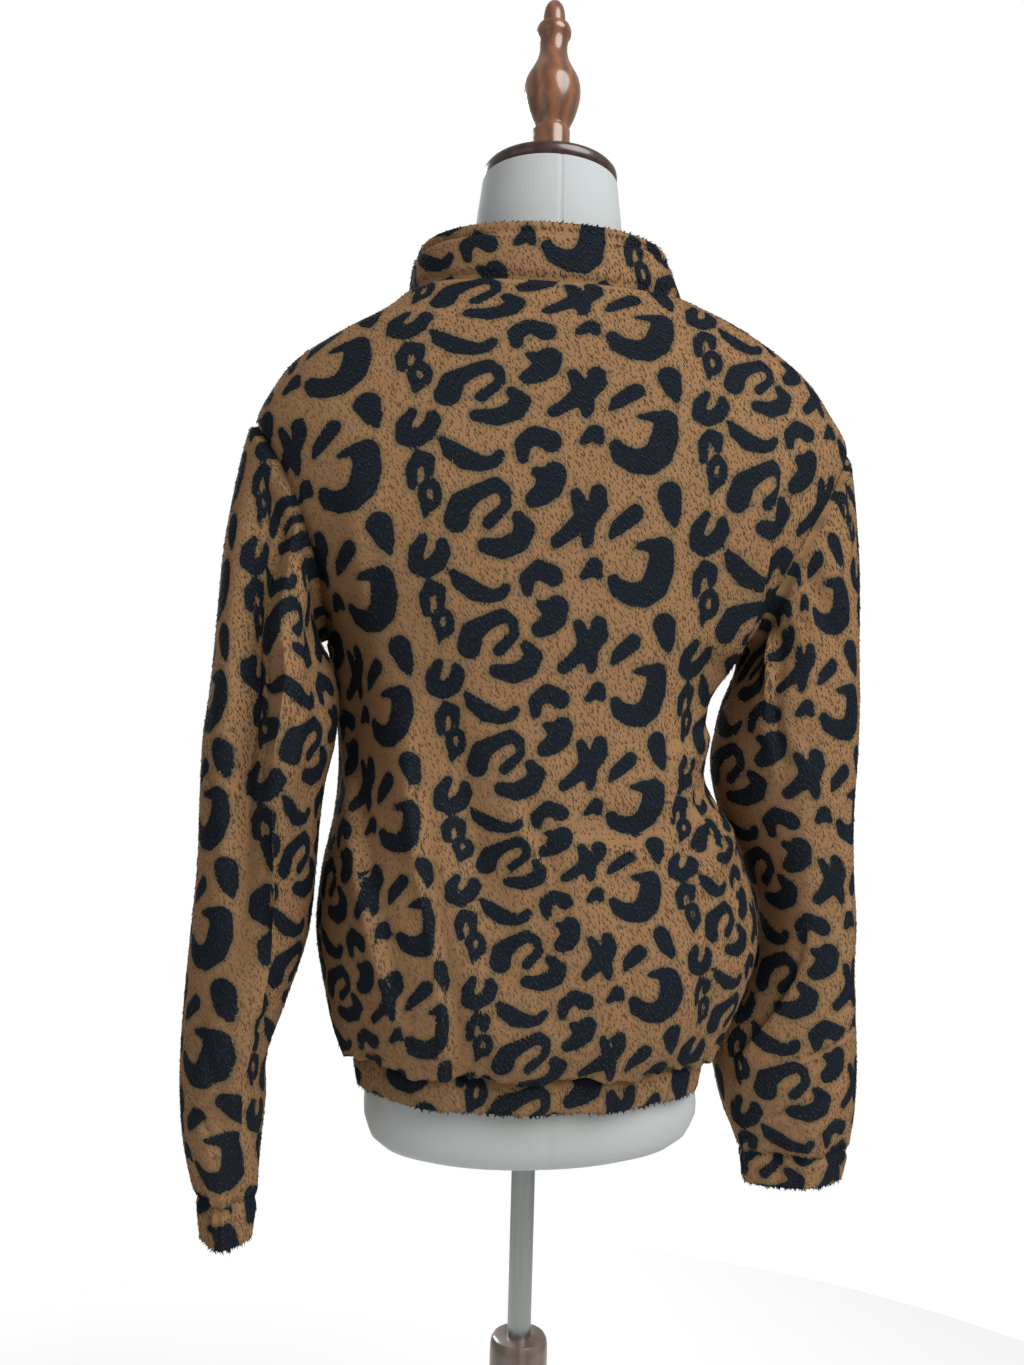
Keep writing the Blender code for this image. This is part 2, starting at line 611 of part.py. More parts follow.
def sewn_pieces():
    """All the cloth's grids, sewn, folded and gathered."""
    levels = body_levels()
    back = back_rows(BODY_ROWS, levels)
    front_left = front_rows(BODY_ROWS, levels, 1)
    front_right = front_rows(BODY_ROWS, levels, -1)
    loops = {
        "left": armhole_loop(back, front_left, 1),
        "right": armhole_loop(back, front_right, -1),
    }
    left = sleeve_rows(LEFT_SLEEVE_ROWS, loops["left"], 1)
    right = sleeve_rows(RIGHT_SLEEVE_ROWS, loops["right"], -1)
    collar = strip_rows(COLLAR_ROWS, np.linspace(NECK_SEAM, COLLAR_TOP, COLLAR_STEPS + 1))
    hem = strip_rows(HEM_ROWS, np.linspace(HEM_BOTTOM, HEM_SEAM, HEM_STEPS + 1))
    names = ("name", "grid", "closed", "turn", "wall", "folded_row")
    table = (
        ("back_panel", back, False, 1, FLEECE, None),
        ("front_left", front_left, False, -1, FLEECE, None),
        ("front_right", front_right, False, 1, FLEECE, None),
        ("collar", collar, False, 1, FOLDED_FLEECE, COLLAR_STEPS),
        ("hem_band", hem, False, 1, ELASTIC_BAND, 0),
        ("sleeve_left", left, True, -1, FLEECE, None),
        ("sleeve_right", right, True, 1, FLEECE, None),
        ("cuff_left", cuff_rows(left, CUFF_DEPTHS["left"]), True, -1, ELASTIC_BAND, CUFF_STEPS),
        ("cuff_right", cuff_rows(right, CUFF_DEPTHS["right"]), True, 1, ELASTIC_BAND, CUFF_STEPS),
    )
    pieces = [dict(zip(names, row)) for row in table]
    by_name = {piece["name"]: piece for piece in pieces}
    share_normals(pieces)
    heights = {
        "sleeve_left": sleeve_fold_heights(left, LEFT_SLEEVE_FOLDS, LEFT_SLEEVE_ROWS),
        "sleeve_right": sleeve_fold_heights(right, RIGHT_SLEEVE_FOLDS, RIGHT_SLEEVE_ROWS),
    }
    for side in ("left", "right"):
        sleeve = heights["sleeve_" + side]
        sleeve[0] = body_fold_heights(by_name["sleeve_" + side]["grid"][0])
        fade = np.linspace(1.0, 0.4, CUFF_STEPS + 1)[:, None]
        heights["cuff_" + side] = sleeve[-1][None, :] * fade
    for piece in pieces:
        height = heights.get(piece["name"])
        if height is None:
            height = body_fold_heights(piece["grid"])
        piece["grid"] = piece["grid"] + piece["normals"] * height[..., None]
    share_normals(pieces)
    return pieces


def build_cloth():
    for piece in sewn_pieces():
        outer = piece["grid"]
        inner = outer - piece["normals"] * piece["wall"]
        normals, closed = piece["normals"], piece["closed"]
        wall_mesh(
            piece["name"], part_seams(outer, normals, closed), part_seams(inner, normals, closed),
            closed, piece["folded_row"], "teddy_fleece",
        )


# The zip


def centre_front():
    """Points up the middle of the front, and the way each one faces."""
    points = []
    sections = (
        ("hem", HEM_ROWS, HEM_BOTTOM, HEM_SEAM),
        ("body", BODY_ROWS, HEM_SEAM, NECK_SEAM),
        ("collar", COLLAR_ROWS, NECK_SEAM, COLLAR_TOP),
    )
    for name, table, low, high in sections:
        for level in np.linspace(low, high, ZIP_ROWS_PER_SECTION[name] + 1):
            row = interpolate(table, LEVEL_COLUMNS, level)
            point = section_point(row, -math.pi / 2)
            if not points or np.linalg.norm(point - points[-1]) > 0.001:
                points.append(point)
    points = np.array(points)
    along = np.gradient(points, axis=0)
    along /= np.linalg.norm(along, axis=1, keepdims=True)
    facing = np.stack((np.zeros(len(points)), -along[:, 2], along[:, 1]), axis=1)
    return points, along, facing


def zip_strip(name, x_from, x_to, recess, thickness, finish):
    points, along, facing = centre_front()
    side = np.array((1.0, 0.0, 0.0))
    outer = points - facing * recess
    inner = outer - facing * thickness
    outer_grid = np.stack([outer + side * x for x in (x_from, x_to)], axis=1)
    inner_grid = np.stack([inner + side * x for x in (x_from, x_to)], axis=1)
    return wall_mesh(name, outer_grid, inner_grid, False, None, finish)


def block(name, size, centre, axes, finish, cutter=False):
    """A box of a given size whose own axes are the columns of a matrix."""
    bm = bmesh.new()
    bmesh.ops.create_cube(bm, size=1.0)
    for vert in bm.verts:
        local = np.array(vert.co) * np.array(size)
        vert.co = centre + axes @ local
    made = finish_mesh(name, bm, finish, smooth=False, turn_outwards=False)
    return hide_cutter(made, cutter)


def bar(name, radius, length, centre, segments, finish, cutter=False):
    """A round bar along X."""
    bm = bmesh.new()
    bmesh.ops.create_cone(
        bm, cap_ends=True, segments=segments, radius1=radius, radius2=radius, depth=length,
    )
    for vert in bm.verts:
        x, y, z = vert.co
        vert.co = centre + np.array((z, x, y))
    return hide_cutter(finish_mesh(name, bm, finish, turn_outwards=False), cutter)


def hide_cutter(part, cutter):
    if cutter:
        part.hide_render = True
        part.display_type = "WIRE"
    return part


def combine(part, other, operation):
    step = part.modifiers.new(operation.lower(), "BOOLEAN")
    step.operation = operation
    step.object = other


def slider_frame():
    """The slider's place on the zip: its middle, and its axes across, up and out."""
    row = interpolate(COLLAR_ROWS, LEVEL_COLUMNS, SLIDER_LEVEL)
    step = 0.002
    above = interpolate(COLLAR_ROWS, LEVEL_COLUMNS, SLIDER_LEVEL + step)
    middle = section_point(row, -math.pi / 2)
    up = section_point(above, -math.pi / 2) - middle
    up /= np.linalg.norm(up)
    out = np.array((0.0, -up[2], up[1]))
    return middle, up, out


def build_zip():
    zip_strip("zip_tape_left", TAPE_INNER_EDGE, ZIP_HALF_GAP - SEAM_GAP, TAPE_RECESS,
              TAPE_THICKNESS, "zip_tape")
    zip_strip("zip_tape_right", -ZIP_HALF_GAP + SEAM_GAP, -TAPE_INNER_EDGE, TAPE_RECESS,
              TAPE_THICKNESS, "zip_tape")
    zip_strip("zip_teeth", -TEETH_HALF_WIDTH, TEETH_HALF_WIDTH, TEETH_RECESS,
              TEETH_THICKNESS, "zip_metal")
    middle, up, out = slider_frame()
    axes = np.stack((np.array((1.0, 0.0, 0.0)), up, out), axis=1)
    teeth_front = -TEETH_RECESS + FACE_GAP
    plate_middle = middle + out * (teeth_front + SLIDER_PLATE / 2)
    plate_size = (SLIDER_WIDTH, SLIDER_LENGTH, SLIDER_PLATE)
    slider = block("zip_slider", plate_size, plate_middle, axes, "zip_metal")
    plate_front = teeth_front + SLIDER_PLATE
    for side, label in ((1, "left"), (-1, "right")):
        across = side * (LUG_HALF_GAP + LUG_THICKNESS / 2)
        height = LUG_HEIGHT + SLIDER_PLATE / 2
        centre = middle + axes @ np.array((across, 0.0, plate_front + LUG_HEIGHT / 2 - SLIDER_PLATE / 4))
        size = (LUG_THICKNESS, LUG_LENGTH, height)
        lug = block("lug_" + label, size, centre, axes, "zip_metal", cutter=True)
        combine(slider, lug, "UNION")
    pin_centre = middle + out * (plate_front + PIN_OFFSET)
    pin_length = 2 * LUG_HALF_GAP + LUG_THICKNESS
    pin = bar("pin", PIN_RADIUS, pin_length, pin_centre, 10, "zip_metal", cutter=True)
    combine(slider, pin, "UNION")
    build_pull_tab(pin_centre, axes)


def build_pull_tab(pin_centre, axes):
    """The tab hangs from the slider's pin, along the zip, and swings out from it."""
    eye_length = 2 * TAB_HALF_WIDTH
    size = (eye_length, TAB_LENGTH, TAB_THICKNESS)
    centre = pin_centre - axes @ np.array((0.0, TAB_LENGTH / 2 + EYE_HOLE_RADIUS, 0.0))
    tab = block("zip_pull_tab", size, centre, axes, "zip_metal")
    eye = bar("eye", EYE_RADIUS, eye_length, pin_centre, 14, "zip_metal", cutter=True)
    hole = bar("eye_hole", EYE_HOLE_RADIUS, eye_length * 2, pin_centre, 14, "zip_metal", cutter=True)
    combine(tab, eye, "UNION")
    combine(tab, hole, "DIFFERENCE")


# The dress form and its stand


def ring_solid(name, rings, finish):
    """A closed solid through rings of points, with a face over each end."""
    bm = bmesh.new()
    loops = [[bm.verts.new(p) for p in ring] for ring in rings]
    for low, high in zip(loops, loops[1:]):
        for c in range(len(low)):
            n = (c + 1) % len(low)
            bm.faces.new((low[c], low[n], high[n], high[c]))
    bm.faces.new(loops[0])
    bm.faces.new(loops[-1])
    return finish_mesh(name, bm, finish)


def form_ring(row, segments):
    power = 2.0 / row["square"]
    ring = []
    for angle in np.arange(segments) * 2.0 * math.pi / segments:
        cos, sin = math.cos(angle), math.sin(angle)
        depth = row["back"] if sin >= 0 else row["front"]
        x = row["centre_x"] + math.copysign(row["half_width"] * abs(cos) ** power, cos)
        y = math.copysign(depth * abs(sin) ** power, sin)
        ring.append((x, y, row["z"]))
    return ring


def circle(radius, z, segments):
    angles = np.arange(segments) * 2.0 * math.pi / segments
    return [(radius * math.cos(a), radius * math.sin(a), z) for a in angles]


def build_form():
    """The torso and neck, whole and smooth, with a socket for the pole below."""
    bottom = FORM_ROWS[0][0]
    socket = POLE_RADIUS + FACE_GAP
    rings = [
        circle(socket, bottom + SOCKET_DEPTH, FORM_SEGMENTS),
        circle(socket, bottom, FORM_SEGMENTS),
    ]
    for values in FORM_ROWS:
        rings.append(form_ring(dict(zip(FORM_COLUMNS, values)), FORM_SEGMENTS))
    ring_solid("form_torso", rings, "form_cotton")


def turned(name, profile, finish):
    """A solid of revolution from a profile whose ends lie on the axis."""
    bm = bmesh.new()
    rings = []
    for radius, z in profile:
        if radius == 0.0:
            rings.append([bm.verts.new((0.0, 0.0, z))])
        else:
            rings.append([bm.verts.new(p) for p in circle(radius, z, TURNED_SEGMENTS)])
    for low, high in zip(rings, rings[1:]):
        for c in range(TURNED_SEGMENTS):
            n = (c + 1) % TURNED_SEGMENTS
            corners = [low[c % len(low)], low[n % len(low)], high[n % len(high)], high[c % len(high)]]
            bm.faces.new(list(dict.fromkeys(corners)))
    return finish_mesh(name, bm, finish)


def build_stand():
    turned("neck_cap", CAP_PROFILE, "dark_wood")
    turned("neck_finial", FINIAL_PROFILE, "varnished_wood")
    pole_top = FORM_ROWS[0][0] + SOCKET_DEPTH - FACE_GAP
    pole = ((0.0, pole_top), (POLE_RADIUS, pole_top), (POLE_RADIUS, POLE_BOTTOM), (0.0, POLE_BOTTOM))
    turned("stand_pole", pole, "pole_steel")
    bore = POLE_RADIUS + FACE_GAP
    bore_top = COLUMN_PROFILE[0][1]
    bore_bottom = POLE_BOTTOM - FACE_GAP
    column = ((0.0, bore_bottom), (bore, bore_bottom), (bore, bore_top)) + COLUMN_PROFILE
    turned("stand_column", column, "stand_wood")
    for index, name in enumerate(LEG_NAMES):
        build_leg(name, index * math.pi / 2)


def build_leg(name, turn):
    bm = bmesh.new()
    near = [bm.verts.new((r, -LEG_WIDTH / 2, z)) for r, z in LEG_OUTLINE]
    face = bm.faces.new(near)
    grown = bmesh.ops.extrude_face_region(bm, geom=[face])
    far = [item for item in grown["geom"] if isinstance(item, bmesh.types.BMVert)]
    bmesh.ops.translate(bm, verts=far, vec=(0.0, LEG_WIDTH, 0.0))
    floor = 0.0
    top_edges = [
        edge for edge in bm.edges
        if abs(edge.verts[0].co.y - edge.verts[1].co.y) < LEG_WIDTH / 2
        and max(v.co.z for v in edge.verts) > floor
        and min(v.co.x for v in edge.verts) > LEG_OUTLINE[0][0]
    ]
    bmesh.ops.bevel(bm, geom=top_edges, offset=LEG_BEVEL, segments=1, affect="EDGES")
    cos, sin = math.cos(turn), math.sin(turn)
    for vert in bm.verts:
        x, y, z = vert.co
        vert.co = (x * cos - y * sin, x * sin + y * cos, z)
    finish_mesh(name, bm, "stand_wood")


def main():
    for part in list(bpy.data.objects):
        bpy.data.objects.remove(part, do_unlink=True)
    build_cloth()
    build_zip()
    build_form()
    build_stand()


main()
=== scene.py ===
"""Looks of the teddy fleece jacket on its dress form: nap, print, cotton, wood and light.

The cloth repeats the sections of the construction, on a finer grid and with more
creases. The print is a small repeat of charted spots, kept on the cloth as the
distance to the nearest spot's edge, and the nap is short locks of pile that lie down
the cloth and take the print's colour at their middles. Metres, +Z up, the jacket's
front towards -Y and the wearer's left on +X.
"""

import math

import bmesh
import bpy
import numpy as np
from mathutils import Matrix, Vector, noise


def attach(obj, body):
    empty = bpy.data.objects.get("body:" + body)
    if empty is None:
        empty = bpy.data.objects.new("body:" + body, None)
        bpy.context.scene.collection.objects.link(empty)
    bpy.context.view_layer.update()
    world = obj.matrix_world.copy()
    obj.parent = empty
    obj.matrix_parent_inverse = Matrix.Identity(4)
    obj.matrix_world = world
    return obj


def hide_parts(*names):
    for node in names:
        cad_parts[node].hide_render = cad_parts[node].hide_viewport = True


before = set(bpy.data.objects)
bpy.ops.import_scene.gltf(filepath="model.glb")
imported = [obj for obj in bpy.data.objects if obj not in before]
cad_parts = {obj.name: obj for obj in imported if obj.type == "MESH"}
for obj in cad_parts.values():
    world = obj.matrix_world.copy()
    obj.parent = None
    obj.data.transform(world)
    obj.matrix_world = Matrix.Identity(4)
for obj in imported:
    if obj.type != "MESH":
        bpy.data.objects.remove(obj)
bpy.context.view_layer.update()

bl_info = {
    "name": "Teddy fleece jacket",
    "version": (1, 0, 0),
    "blender": (4, 5, 0),
    "location": "3D View > Sidebar > Jacket",
    "description": "Makes the jacket's nap and print, its dress form and the studio",
    "category": "Object",
}

ROOT_BODY = "jacket_on_form"

# Heights that the jacket is hung from
HEM_BOTTOM = 0.636
HEM_SEAM = 0.660
UNDERARM = 0.978
ARMHOLE_TOP = 1.148
NECK_SEAM = 1.256
COLLAR_TOP = 1.290
ARMHOLE_HALF_DEPTH = 0.066
SLEEVE_HEAD_END = 0.900
SHOULDER_LEAN = -0.02
ZIP_HALF_GAP = 0.008

# Sections of the jacket: half widths at the sides, depths and heights at the middles
LEVEL_COLUMNS = ("side_z", "left", "right", "back", "back_z", "front", "front_z", "square")
HEM_ROWS = (
    (0.636, 0.1360, 0.1415, 0.103, 0.634, 0.097, 0.636, 2.2),
    (0.648, 0.1370, 0.1430, 0.106, 0.647, 0.100, 0.648, 2.2),
    (0.660, 0.1375, 0.1435, 0.107, 0.660, 0.101, 0.660, 2.2),
)
BODY_ROWS = (
    (0.660, 0.1375, 0.1435, 0.107, 0.660, 0.101, 0.660, 2.2),
    (0.680, 0.151, 0.157, 0.122, 0.680, 0.112, 0.680, 2.2),
    (0.712, 0.162, 0.174, 0.131, 0.712, 0.120, 0.712, 2.3),
    (0.750, 0.170, 0.184, 0.133, 0.750, 0.123, 0.750, 2.3),
    (0.800, 0.168, 0.174, 0.128, 0.800, 0.122, 0.800, 2.3),
    (0.850, 0.159, 0.150, 0.121, 0.850, 0.119, 0.850, 2.3),
    (0.900, 0.158, 0.135, 0.116, 0.900, 0.119, 0.900, 2.3),
    (0.940, 0.163, 0.137, 0.115, 0.940, 0.124, 0.940, 2.3),
    (0.965, 0.166, 0.150, 0.115, 0.965, 0.129, 0.965, 2.4),
    (0.978, 0.169, 0.168, 0.115, 0.978, 0.131, 0.975, 2.4),
    (1.010, 0.183, 0.190, 0.115, 1.010, 0.133, 1.000, 2.5),
    (1.060, 0.205, 0.222, 0.115, 1.058, 0.131, 1.042, 2.6),
    (1.110, 0.220, 0.246, 0.111, 1.103, 0.123, 1.085, 2.6),
    (1.148, 0.226, 0.250, 0.106, 1.140, 0.116, 1.120, 2.5),
    (1.172, 0.215, 0.236, 0.103, 1.165, 0.113, 1.142, 2.4),
    (1.192, 0.201, 0.222, 0.099, 1.190, 0.110, 1.162, 2.35),
    (1.214, 0.171, 0.195, 0.095, 1.212, 0.106, 1.180, 2.3),
    (1.236, 0.135, 0.158, 0.091, 1.230, 0.102, 1.195, 2.2),
    (1.256, 0.113, 0.112, 0.087, 1.243, 0.098, 1.207, 2.1),
)
COLLAR_ROWS = (
    (1.256, 0.113, 0.112, 0.087, 1.243, 0.098, 1.207, 2.1),
    (1.264, 0.1115, 0.108, 0.087, 1.252, 0.097, 1.216, 2.1),
    (1.278, 0.1095, 0.102, 0.085, 1.269, 0.094, 1.234, 2.1),
    (1.290, 0.1050, 0.097, 0.081, 1.287, 0.090, 1.252, 2.1),
)
SLEEVE_COLUMNS = ("z", "centre_x", "half_width", "centre_y", "half_depth", "square")
LEFT_SLEEVE_ROWS = (
    (1.150, 0.200, 0.044, 0.000, 0.070, 2.2),
    (1.050, 0.212, 0.044, 0.000, 0.074, 2.2),
    (0.980, 0.2155, 0.0395, 0.010, 0.075, 2.2),
    (0.940, 0.2090, 0.0450, 0.026, 0.074, 2.2),
    (0.900, 0.2100, 0.0460, 0.032, 0.072, 2.2),
    (0.855, 0.2125, 0.0445, 0.032, 0.070, 2.2),
    (0.805, 0.2130, 0.0445, 0.032, 0.068, 2.2),
    (0.750, 0.2175, 0.0440, 0.032, 0.066, 2.2),
    (0.700, 0.2270, 0.0380, 0.028, 0.065, 2.2),
    (0.655, 0.2350, 0.0320, 0.022, 0.062, 2.2),
    (0.622, 0.2350, 0.0320, 0.013, 0.058, 2.2),
    (0.592, 0.2340, 0.0290, 0.014, 0.053, 2.1),
    (0.567, 0.2315, 0.0245, 0.015, 0.046, 2.1),
    (0.555, 0.2300, 0.0215, 0.015, 0.041, 2.1),
)
RIGHT_SLEEVE_ROWS = (
    (1.150, 0.215, 0.050, 0.000, 0.066, 2.2),
    (1.050, 0.220, 0.051, 0.000, 0.066, 2.2),
    (0.980, 0.2225, 0.0465, 0.000, 0.066, 2.2),
    (0.940, 0.2145, 0.0560, 0.000, 0.066, 2.2),
    (0.900, 0.2125, 0.0570, 0.000, 0.065, 2.2),
    (0.855, 0.2160, 0.0510, 0.000, 0.064, 2.2),
    (0.811, 0.2235, 0.0430, 0.000, 0.064, 2.2),
    (0.760, 0.2315, 0.0385, 0.000, 0.062, 2.2),
    (0.720, 0.2285, 0.0415, 0.000, 0.062, 2.2),
    (0.690, 0.2235, 0.0495, 0.001, 0.060, 2.2),
    (0.662, 0.2175, 0.0590, 0.001, 0.056, 2.2),
    (0.625, 0.2185, 0.0585, 0.002, 0.053, 2.2),
    (0.601, 0.2210, 0.0550, 0.003, 0.047, 2.1),
    (0.580, 0.2235, 0.0490, 0.004, 0.038, 2.1),
    (0.571, 0.2250, 0.0465, 0.004, 0.032, 2.1),
)
CUFF_DEPTHS = {"left": 0.031, "right": 0.024}
CUFF_TAPER = 0.93

# Folds across the back (+1) and front (-1): ends, reach to each side and height
FOLD_COLUMNS = ("face", "x0", "z0", "x1", "z1", "reach", "height")
BODY_FOLDS = (
    (1, 0.115, 0.930, 0.060, 0.700, 0.018, 0.008),
    (1, 0.085, 0.930, 0.030, 0.720, 0.016, -0.007),
    (1, 0.135, 0.850, 0.105, 0.700, 0.020, 0.007),
    (1, 0.010, 0.880, -0.030, 0.740, 0.020, 0.005),
    (1, -0.150, 0.930, -0.080, 0.870, 0.013, 0.006),
    (1, -0.155, 0.890, -0.085, 0.835, 0.013, -0.005),
    (1, -0.160, 0.850, -0.090, 0.790, 0.014, 0.007),
    (1, -0.110, 0.780, -0.075, 0.690, 0.018, 0.006),
    (1, -0.155, 1.120, -0.140, 0.960, 0.018, 0.006),
    (1, 0.150, 1.110, 0.130, 0.950, 0.016, 0.005),
    (1, 0.158, 1.010, 0.146, 0.850, 0.026, -0.0090),
    (-1, 0.130, 1.080, 0.060, 0.900, 0.020, 0.006),
    (-1, -0.140, 1.080, -0.065, 0.890, 0.020, 0.006),
    (-1, 0.120, 0.850, 0.065, 0.700, 0.020, 0.007),
    (-1, -0.125, 0.860, -0.070, 0.710, 0.020, 0.007),
    (-1, 0.060, 0.790, 0.045, 0.690, 0.014, -0.005),
    (-1, -0.055, 0.780, -0.045, 0.690, 0.014, -0.005),
)
BODY_CREASES = (
    (1, 0.062, 0.840, 0.050, 0.715, 0.006, -0.0026),
    (1, 0.100, 0.800, 0.078, 0.700, 0.007, -0.0030),
    (1, 0.020, 0.800, 0.005, 0.700, 0.008, -0.0020),
    (1, -0.050, 0.790, -0.055, 0.690, 0.007, -0.0024),
    (1, -0.090, 0.905, -0.140, 0.925, 0.006, -0.0026),
    (1, -0.080, 0.815, -0.145, 0.845, 0.006, -0.0028),
    (1, -0.095, 0.745, -0.130, 0.700, 0.007, -0.0026),
    (1, 0.140, 1.060, 0.128, 0.985, 0.007, -0.0026),
    (1, -0.150, 1.080, -0.132, 0.990, 0.007, -0.0028),
    (1, -0.165, 1.010, -0.120, 0.960, 0.008, -0.0024),
    (1, 0.060, 1.205, 0.130, 1.180, 0.010, -0.0016),
    (1, -0.080, 1.215, -0.125, 1.175, 0.010, -0.0018),
    (1, -0.010, 0.850, -0.085, 0.838, 0.010, -0.0034),
    (1, -0.055, 0.822, -0.110, 0.848, 0.008, 0.0030),
    (-1, 0.115, 1.030, 0.085, 0.930, 0.007, -0.0026),
    (-1, -0.120, 1.020, -0.080, 0.920, 0.007, -0.0026),
    (-1, 0.095, 0.800, 0.078, 0.700, 0.007, -0.0028),
    (-1, -0.100, 0.800, -0.080, 0.695, 0.007, -0.0028),
    (-1, 0.030, 0.760, 0.028, 0.690, 0.006, -0.0020),
    (-1, -0.032, 0.755, -0.028, 0.688, 0.006, -0.0020),
    (-1, 0.150, 0.930, 0.090, 0.880, 0.008, -0.0024),
    (-1, -0.135, 0.925, -0.085, 0.870, 0.008, -0.0024),
)
# Overlapping folds: the cloth stands up on one side of the line, which hides some of it
STEP_COLUMNS = ("face", "x0", "z0", "x1", "z1", "reach", "height", "hidden")
BODY_STEPS = (
    (1, -0.164, 1.100, -0.140, 0.940, 0.026, 0.0085, 0.000),
    (1, 0.101, 0.900, 0.090, 0.790, 0.018, 0.0058, 0.008),
    (1, 0.090, 0.800, 0.068, 0.672, 0.018, 0.0062, 0.008),
    (1, 0.150, 0.870, 0.109, 0.715, 0.016, 0.0058, 0.006),
    (1, -0.094, 0.890, -0.087, 0.850, 0.012, 0.0048, 0.003),
    (1, -0.101, 0.890, -0.126, 0.832, 0.012, 0.0048, 0.003),
    (1, 0.031, 0.862, 0.008, 0.805, 0.016, 0.0036, 0.003),
    (1, 0.002, 0.837, -0.072, 0.832, 0.020, 0.0024, 0.000),
    (-1, 0.120, 0.880, 0.080, 0.690, 0.016, 0.0030, 0.010),
    (-1, -0.118, 0.900, -0.086, 0.700, 0.016, -0.0030, 0.010),
)
STEP_EDGE = 0.0022
FOLD_TAPER = (0.12, 0.76)
STEP_TAPER = (0.06, 0.88, 0.7)
FACING_DEPTH = 0.04
HIDING_SHARE = 0.4
ZIP_CALM_REACH = 0.03
SLEEVE_QUIET = 0.022
GATHER_WAVES = 10
GATHER_HEIGHT = 0.0035
GATHER_RISE = 0.035
FINE_GATHER_WAVES = 37
FINE_GATHER_HEIGHT = 0.0016
FINE_GATHER_RISE = 0.016
GATHER_UNEVEN = (0.5, 3.0, 1.0)
GATHER_WANDER = (1.7, 5.0)
HEM_OVERHANG = 0.0080
HEM_OVERHANG_EDGE = 0.0035
HEM_OVERHANG_RISE = 0.028

# Folds of the sleeves: degrees round them from the outer side, 90 at the back
SLEEVE_FOLD_COLUMNS = ("angle0", "z0", "angle1", "z1", "reach", "height")
LEFT_SLEEVE_FOLDS = (
    (62, 1.080, 88, 0.740, 0.016, -0.016),
    (110, 1.060, 118, 0.800, 0.018, 0.006),
    (180, 1.025, 180, 0.870, 0.040, 0.0090),
    (150, 0.870, 150, 0.720, 0.030, -0.0060),
    (95, 0.760, 70, 0.640, 0.016, 0.005),
    (250, 1.000, 285, 0.800, 0.020, -0.007),
    (80, 0.640, 120, 0.590, 0.014, -0.004),
)
LEFT_SLEEVE_CREASES = (
    (76, 1.020, 86, 0.800, 0.006, -0.0035),
    (125, 0.960, 100, 0.860, 0.007, -0.0028),
    (70, 0.700, 100, 0.640, 0.006, -0.0026),
    (60, 0.640, 95, 0.600, 0.006, -0.0024),
    (30, 0.900, 55, 0.820, 0.008, -0.0022),
    (255, 0.760, 285, 0.680, 0.007, -0.0024),
    (300, 0.930, 330, 0.840, 0.008, -0.0022),
)
RIGHT_SLEEVE_FOLDS = (
    (115, 1.080, 70, 0.960, 0.016, -0.007),
    (140, 1.010, 95, 0.870, 0.016, 0.006),
    (180, 0.915, 180, 0.820, 0.032, 0.0090),
    (60, 0.850, 105, 0.760, 0.018, -0.005),
    (50, 0.700, 120, 0.640, 0.015, 0.005),
    (250, 1.000, 285, 0.820, 0.020, -0.007),
)
RIGHT_SLEEVE_CREASES = (
    (130, 1.050, 90, 0.965, 0.006, -0.0030),
    (150, 0.980, 110, 0.890, 0.007, -0.0030),
    (110, 0.930, 80, 0.880, 0.006, -0.0022),
    (50, 0.800, 95, 0.750, 0.007, -0.0026),
    (45, 0.680, 110, 0.655, 0.006, -0.0024),
    (70, 0.635, 120, 0.605, 0.006, -0.0026),
    (260, 0.720, 300, 0.650, 0.007, -0.0024),
    (310, 0.940, 335, 0.850, 0.008, -0.0020),
)
LEFT_SLEEVE_OVERLAPS = (
    (87, 1.130, 103, 0.800, 0.030, 0.0150),
    (100, 0.880, 122, 0.630, 0.036, -0.0160),
    (262, 0.980, 280, 0.760, 0.018, 0.0050),
)
RIGHT_SLEEVE_OVERLAPS = (
    (150, 1.040, 118, 0.900, 0.022, 0.0070),
    (120, 0.740, 150, 0.640, 0.020, -0.0040),
    (258, 1.000, 284, 0.780, 0.018, 0.0050),
)
CUFF_WAVES = 5
CUFF_GATHER = 0.0034
FINE_CUFF_WAVES = 17
FINE_CUFF_GATHER = 0.0013
CUFF_TURN = 0.6
CUFF_WANDER = (1.3, 4.0)
CUFF_FADE = (1.0, 0.4)

# Steps of the fine grid
BACK_COLUMNS = 150
FRONT_COLUMNS = 78
ARMHOLE_STEPS = 56
STEPS_BELOW_ARM = 96
YOKE_STEPS = 40
COLLAR_STEPS = 20
HEM_STEPS = 10
HEAD_STEPS = 84
HEAD_EASE = 1.6
HEAD_ROUNDNESS = 0.35
SLEEVE_STEPS = 100
CUFF_STEPS = 9
ARC_SAMPLES = 240
INNER_STRIDE = 4
FOLD_ROUND_STEPS = 5
FOLD_ROUNDNESS = 0.7
SHARP_EDGE = 60.0
EASED_EDGE = 38.0
MERGE_DISTANCE = 1e-6

# Cloth: the knitted ground lies under the tips of its pile
GROUND_DEPTH = 0.0011
FLEECE = 0.0040
FOLDED_FLEECE = 0.0075
ELASTIC_BAND = 0.0050
SEAM_DIP = 0.0026
SEAM_REACH = 0.0038
STITCH_DROP = 0.0068
STITCH_DIP = 0.0024
STITCH_REACH = 0.0020

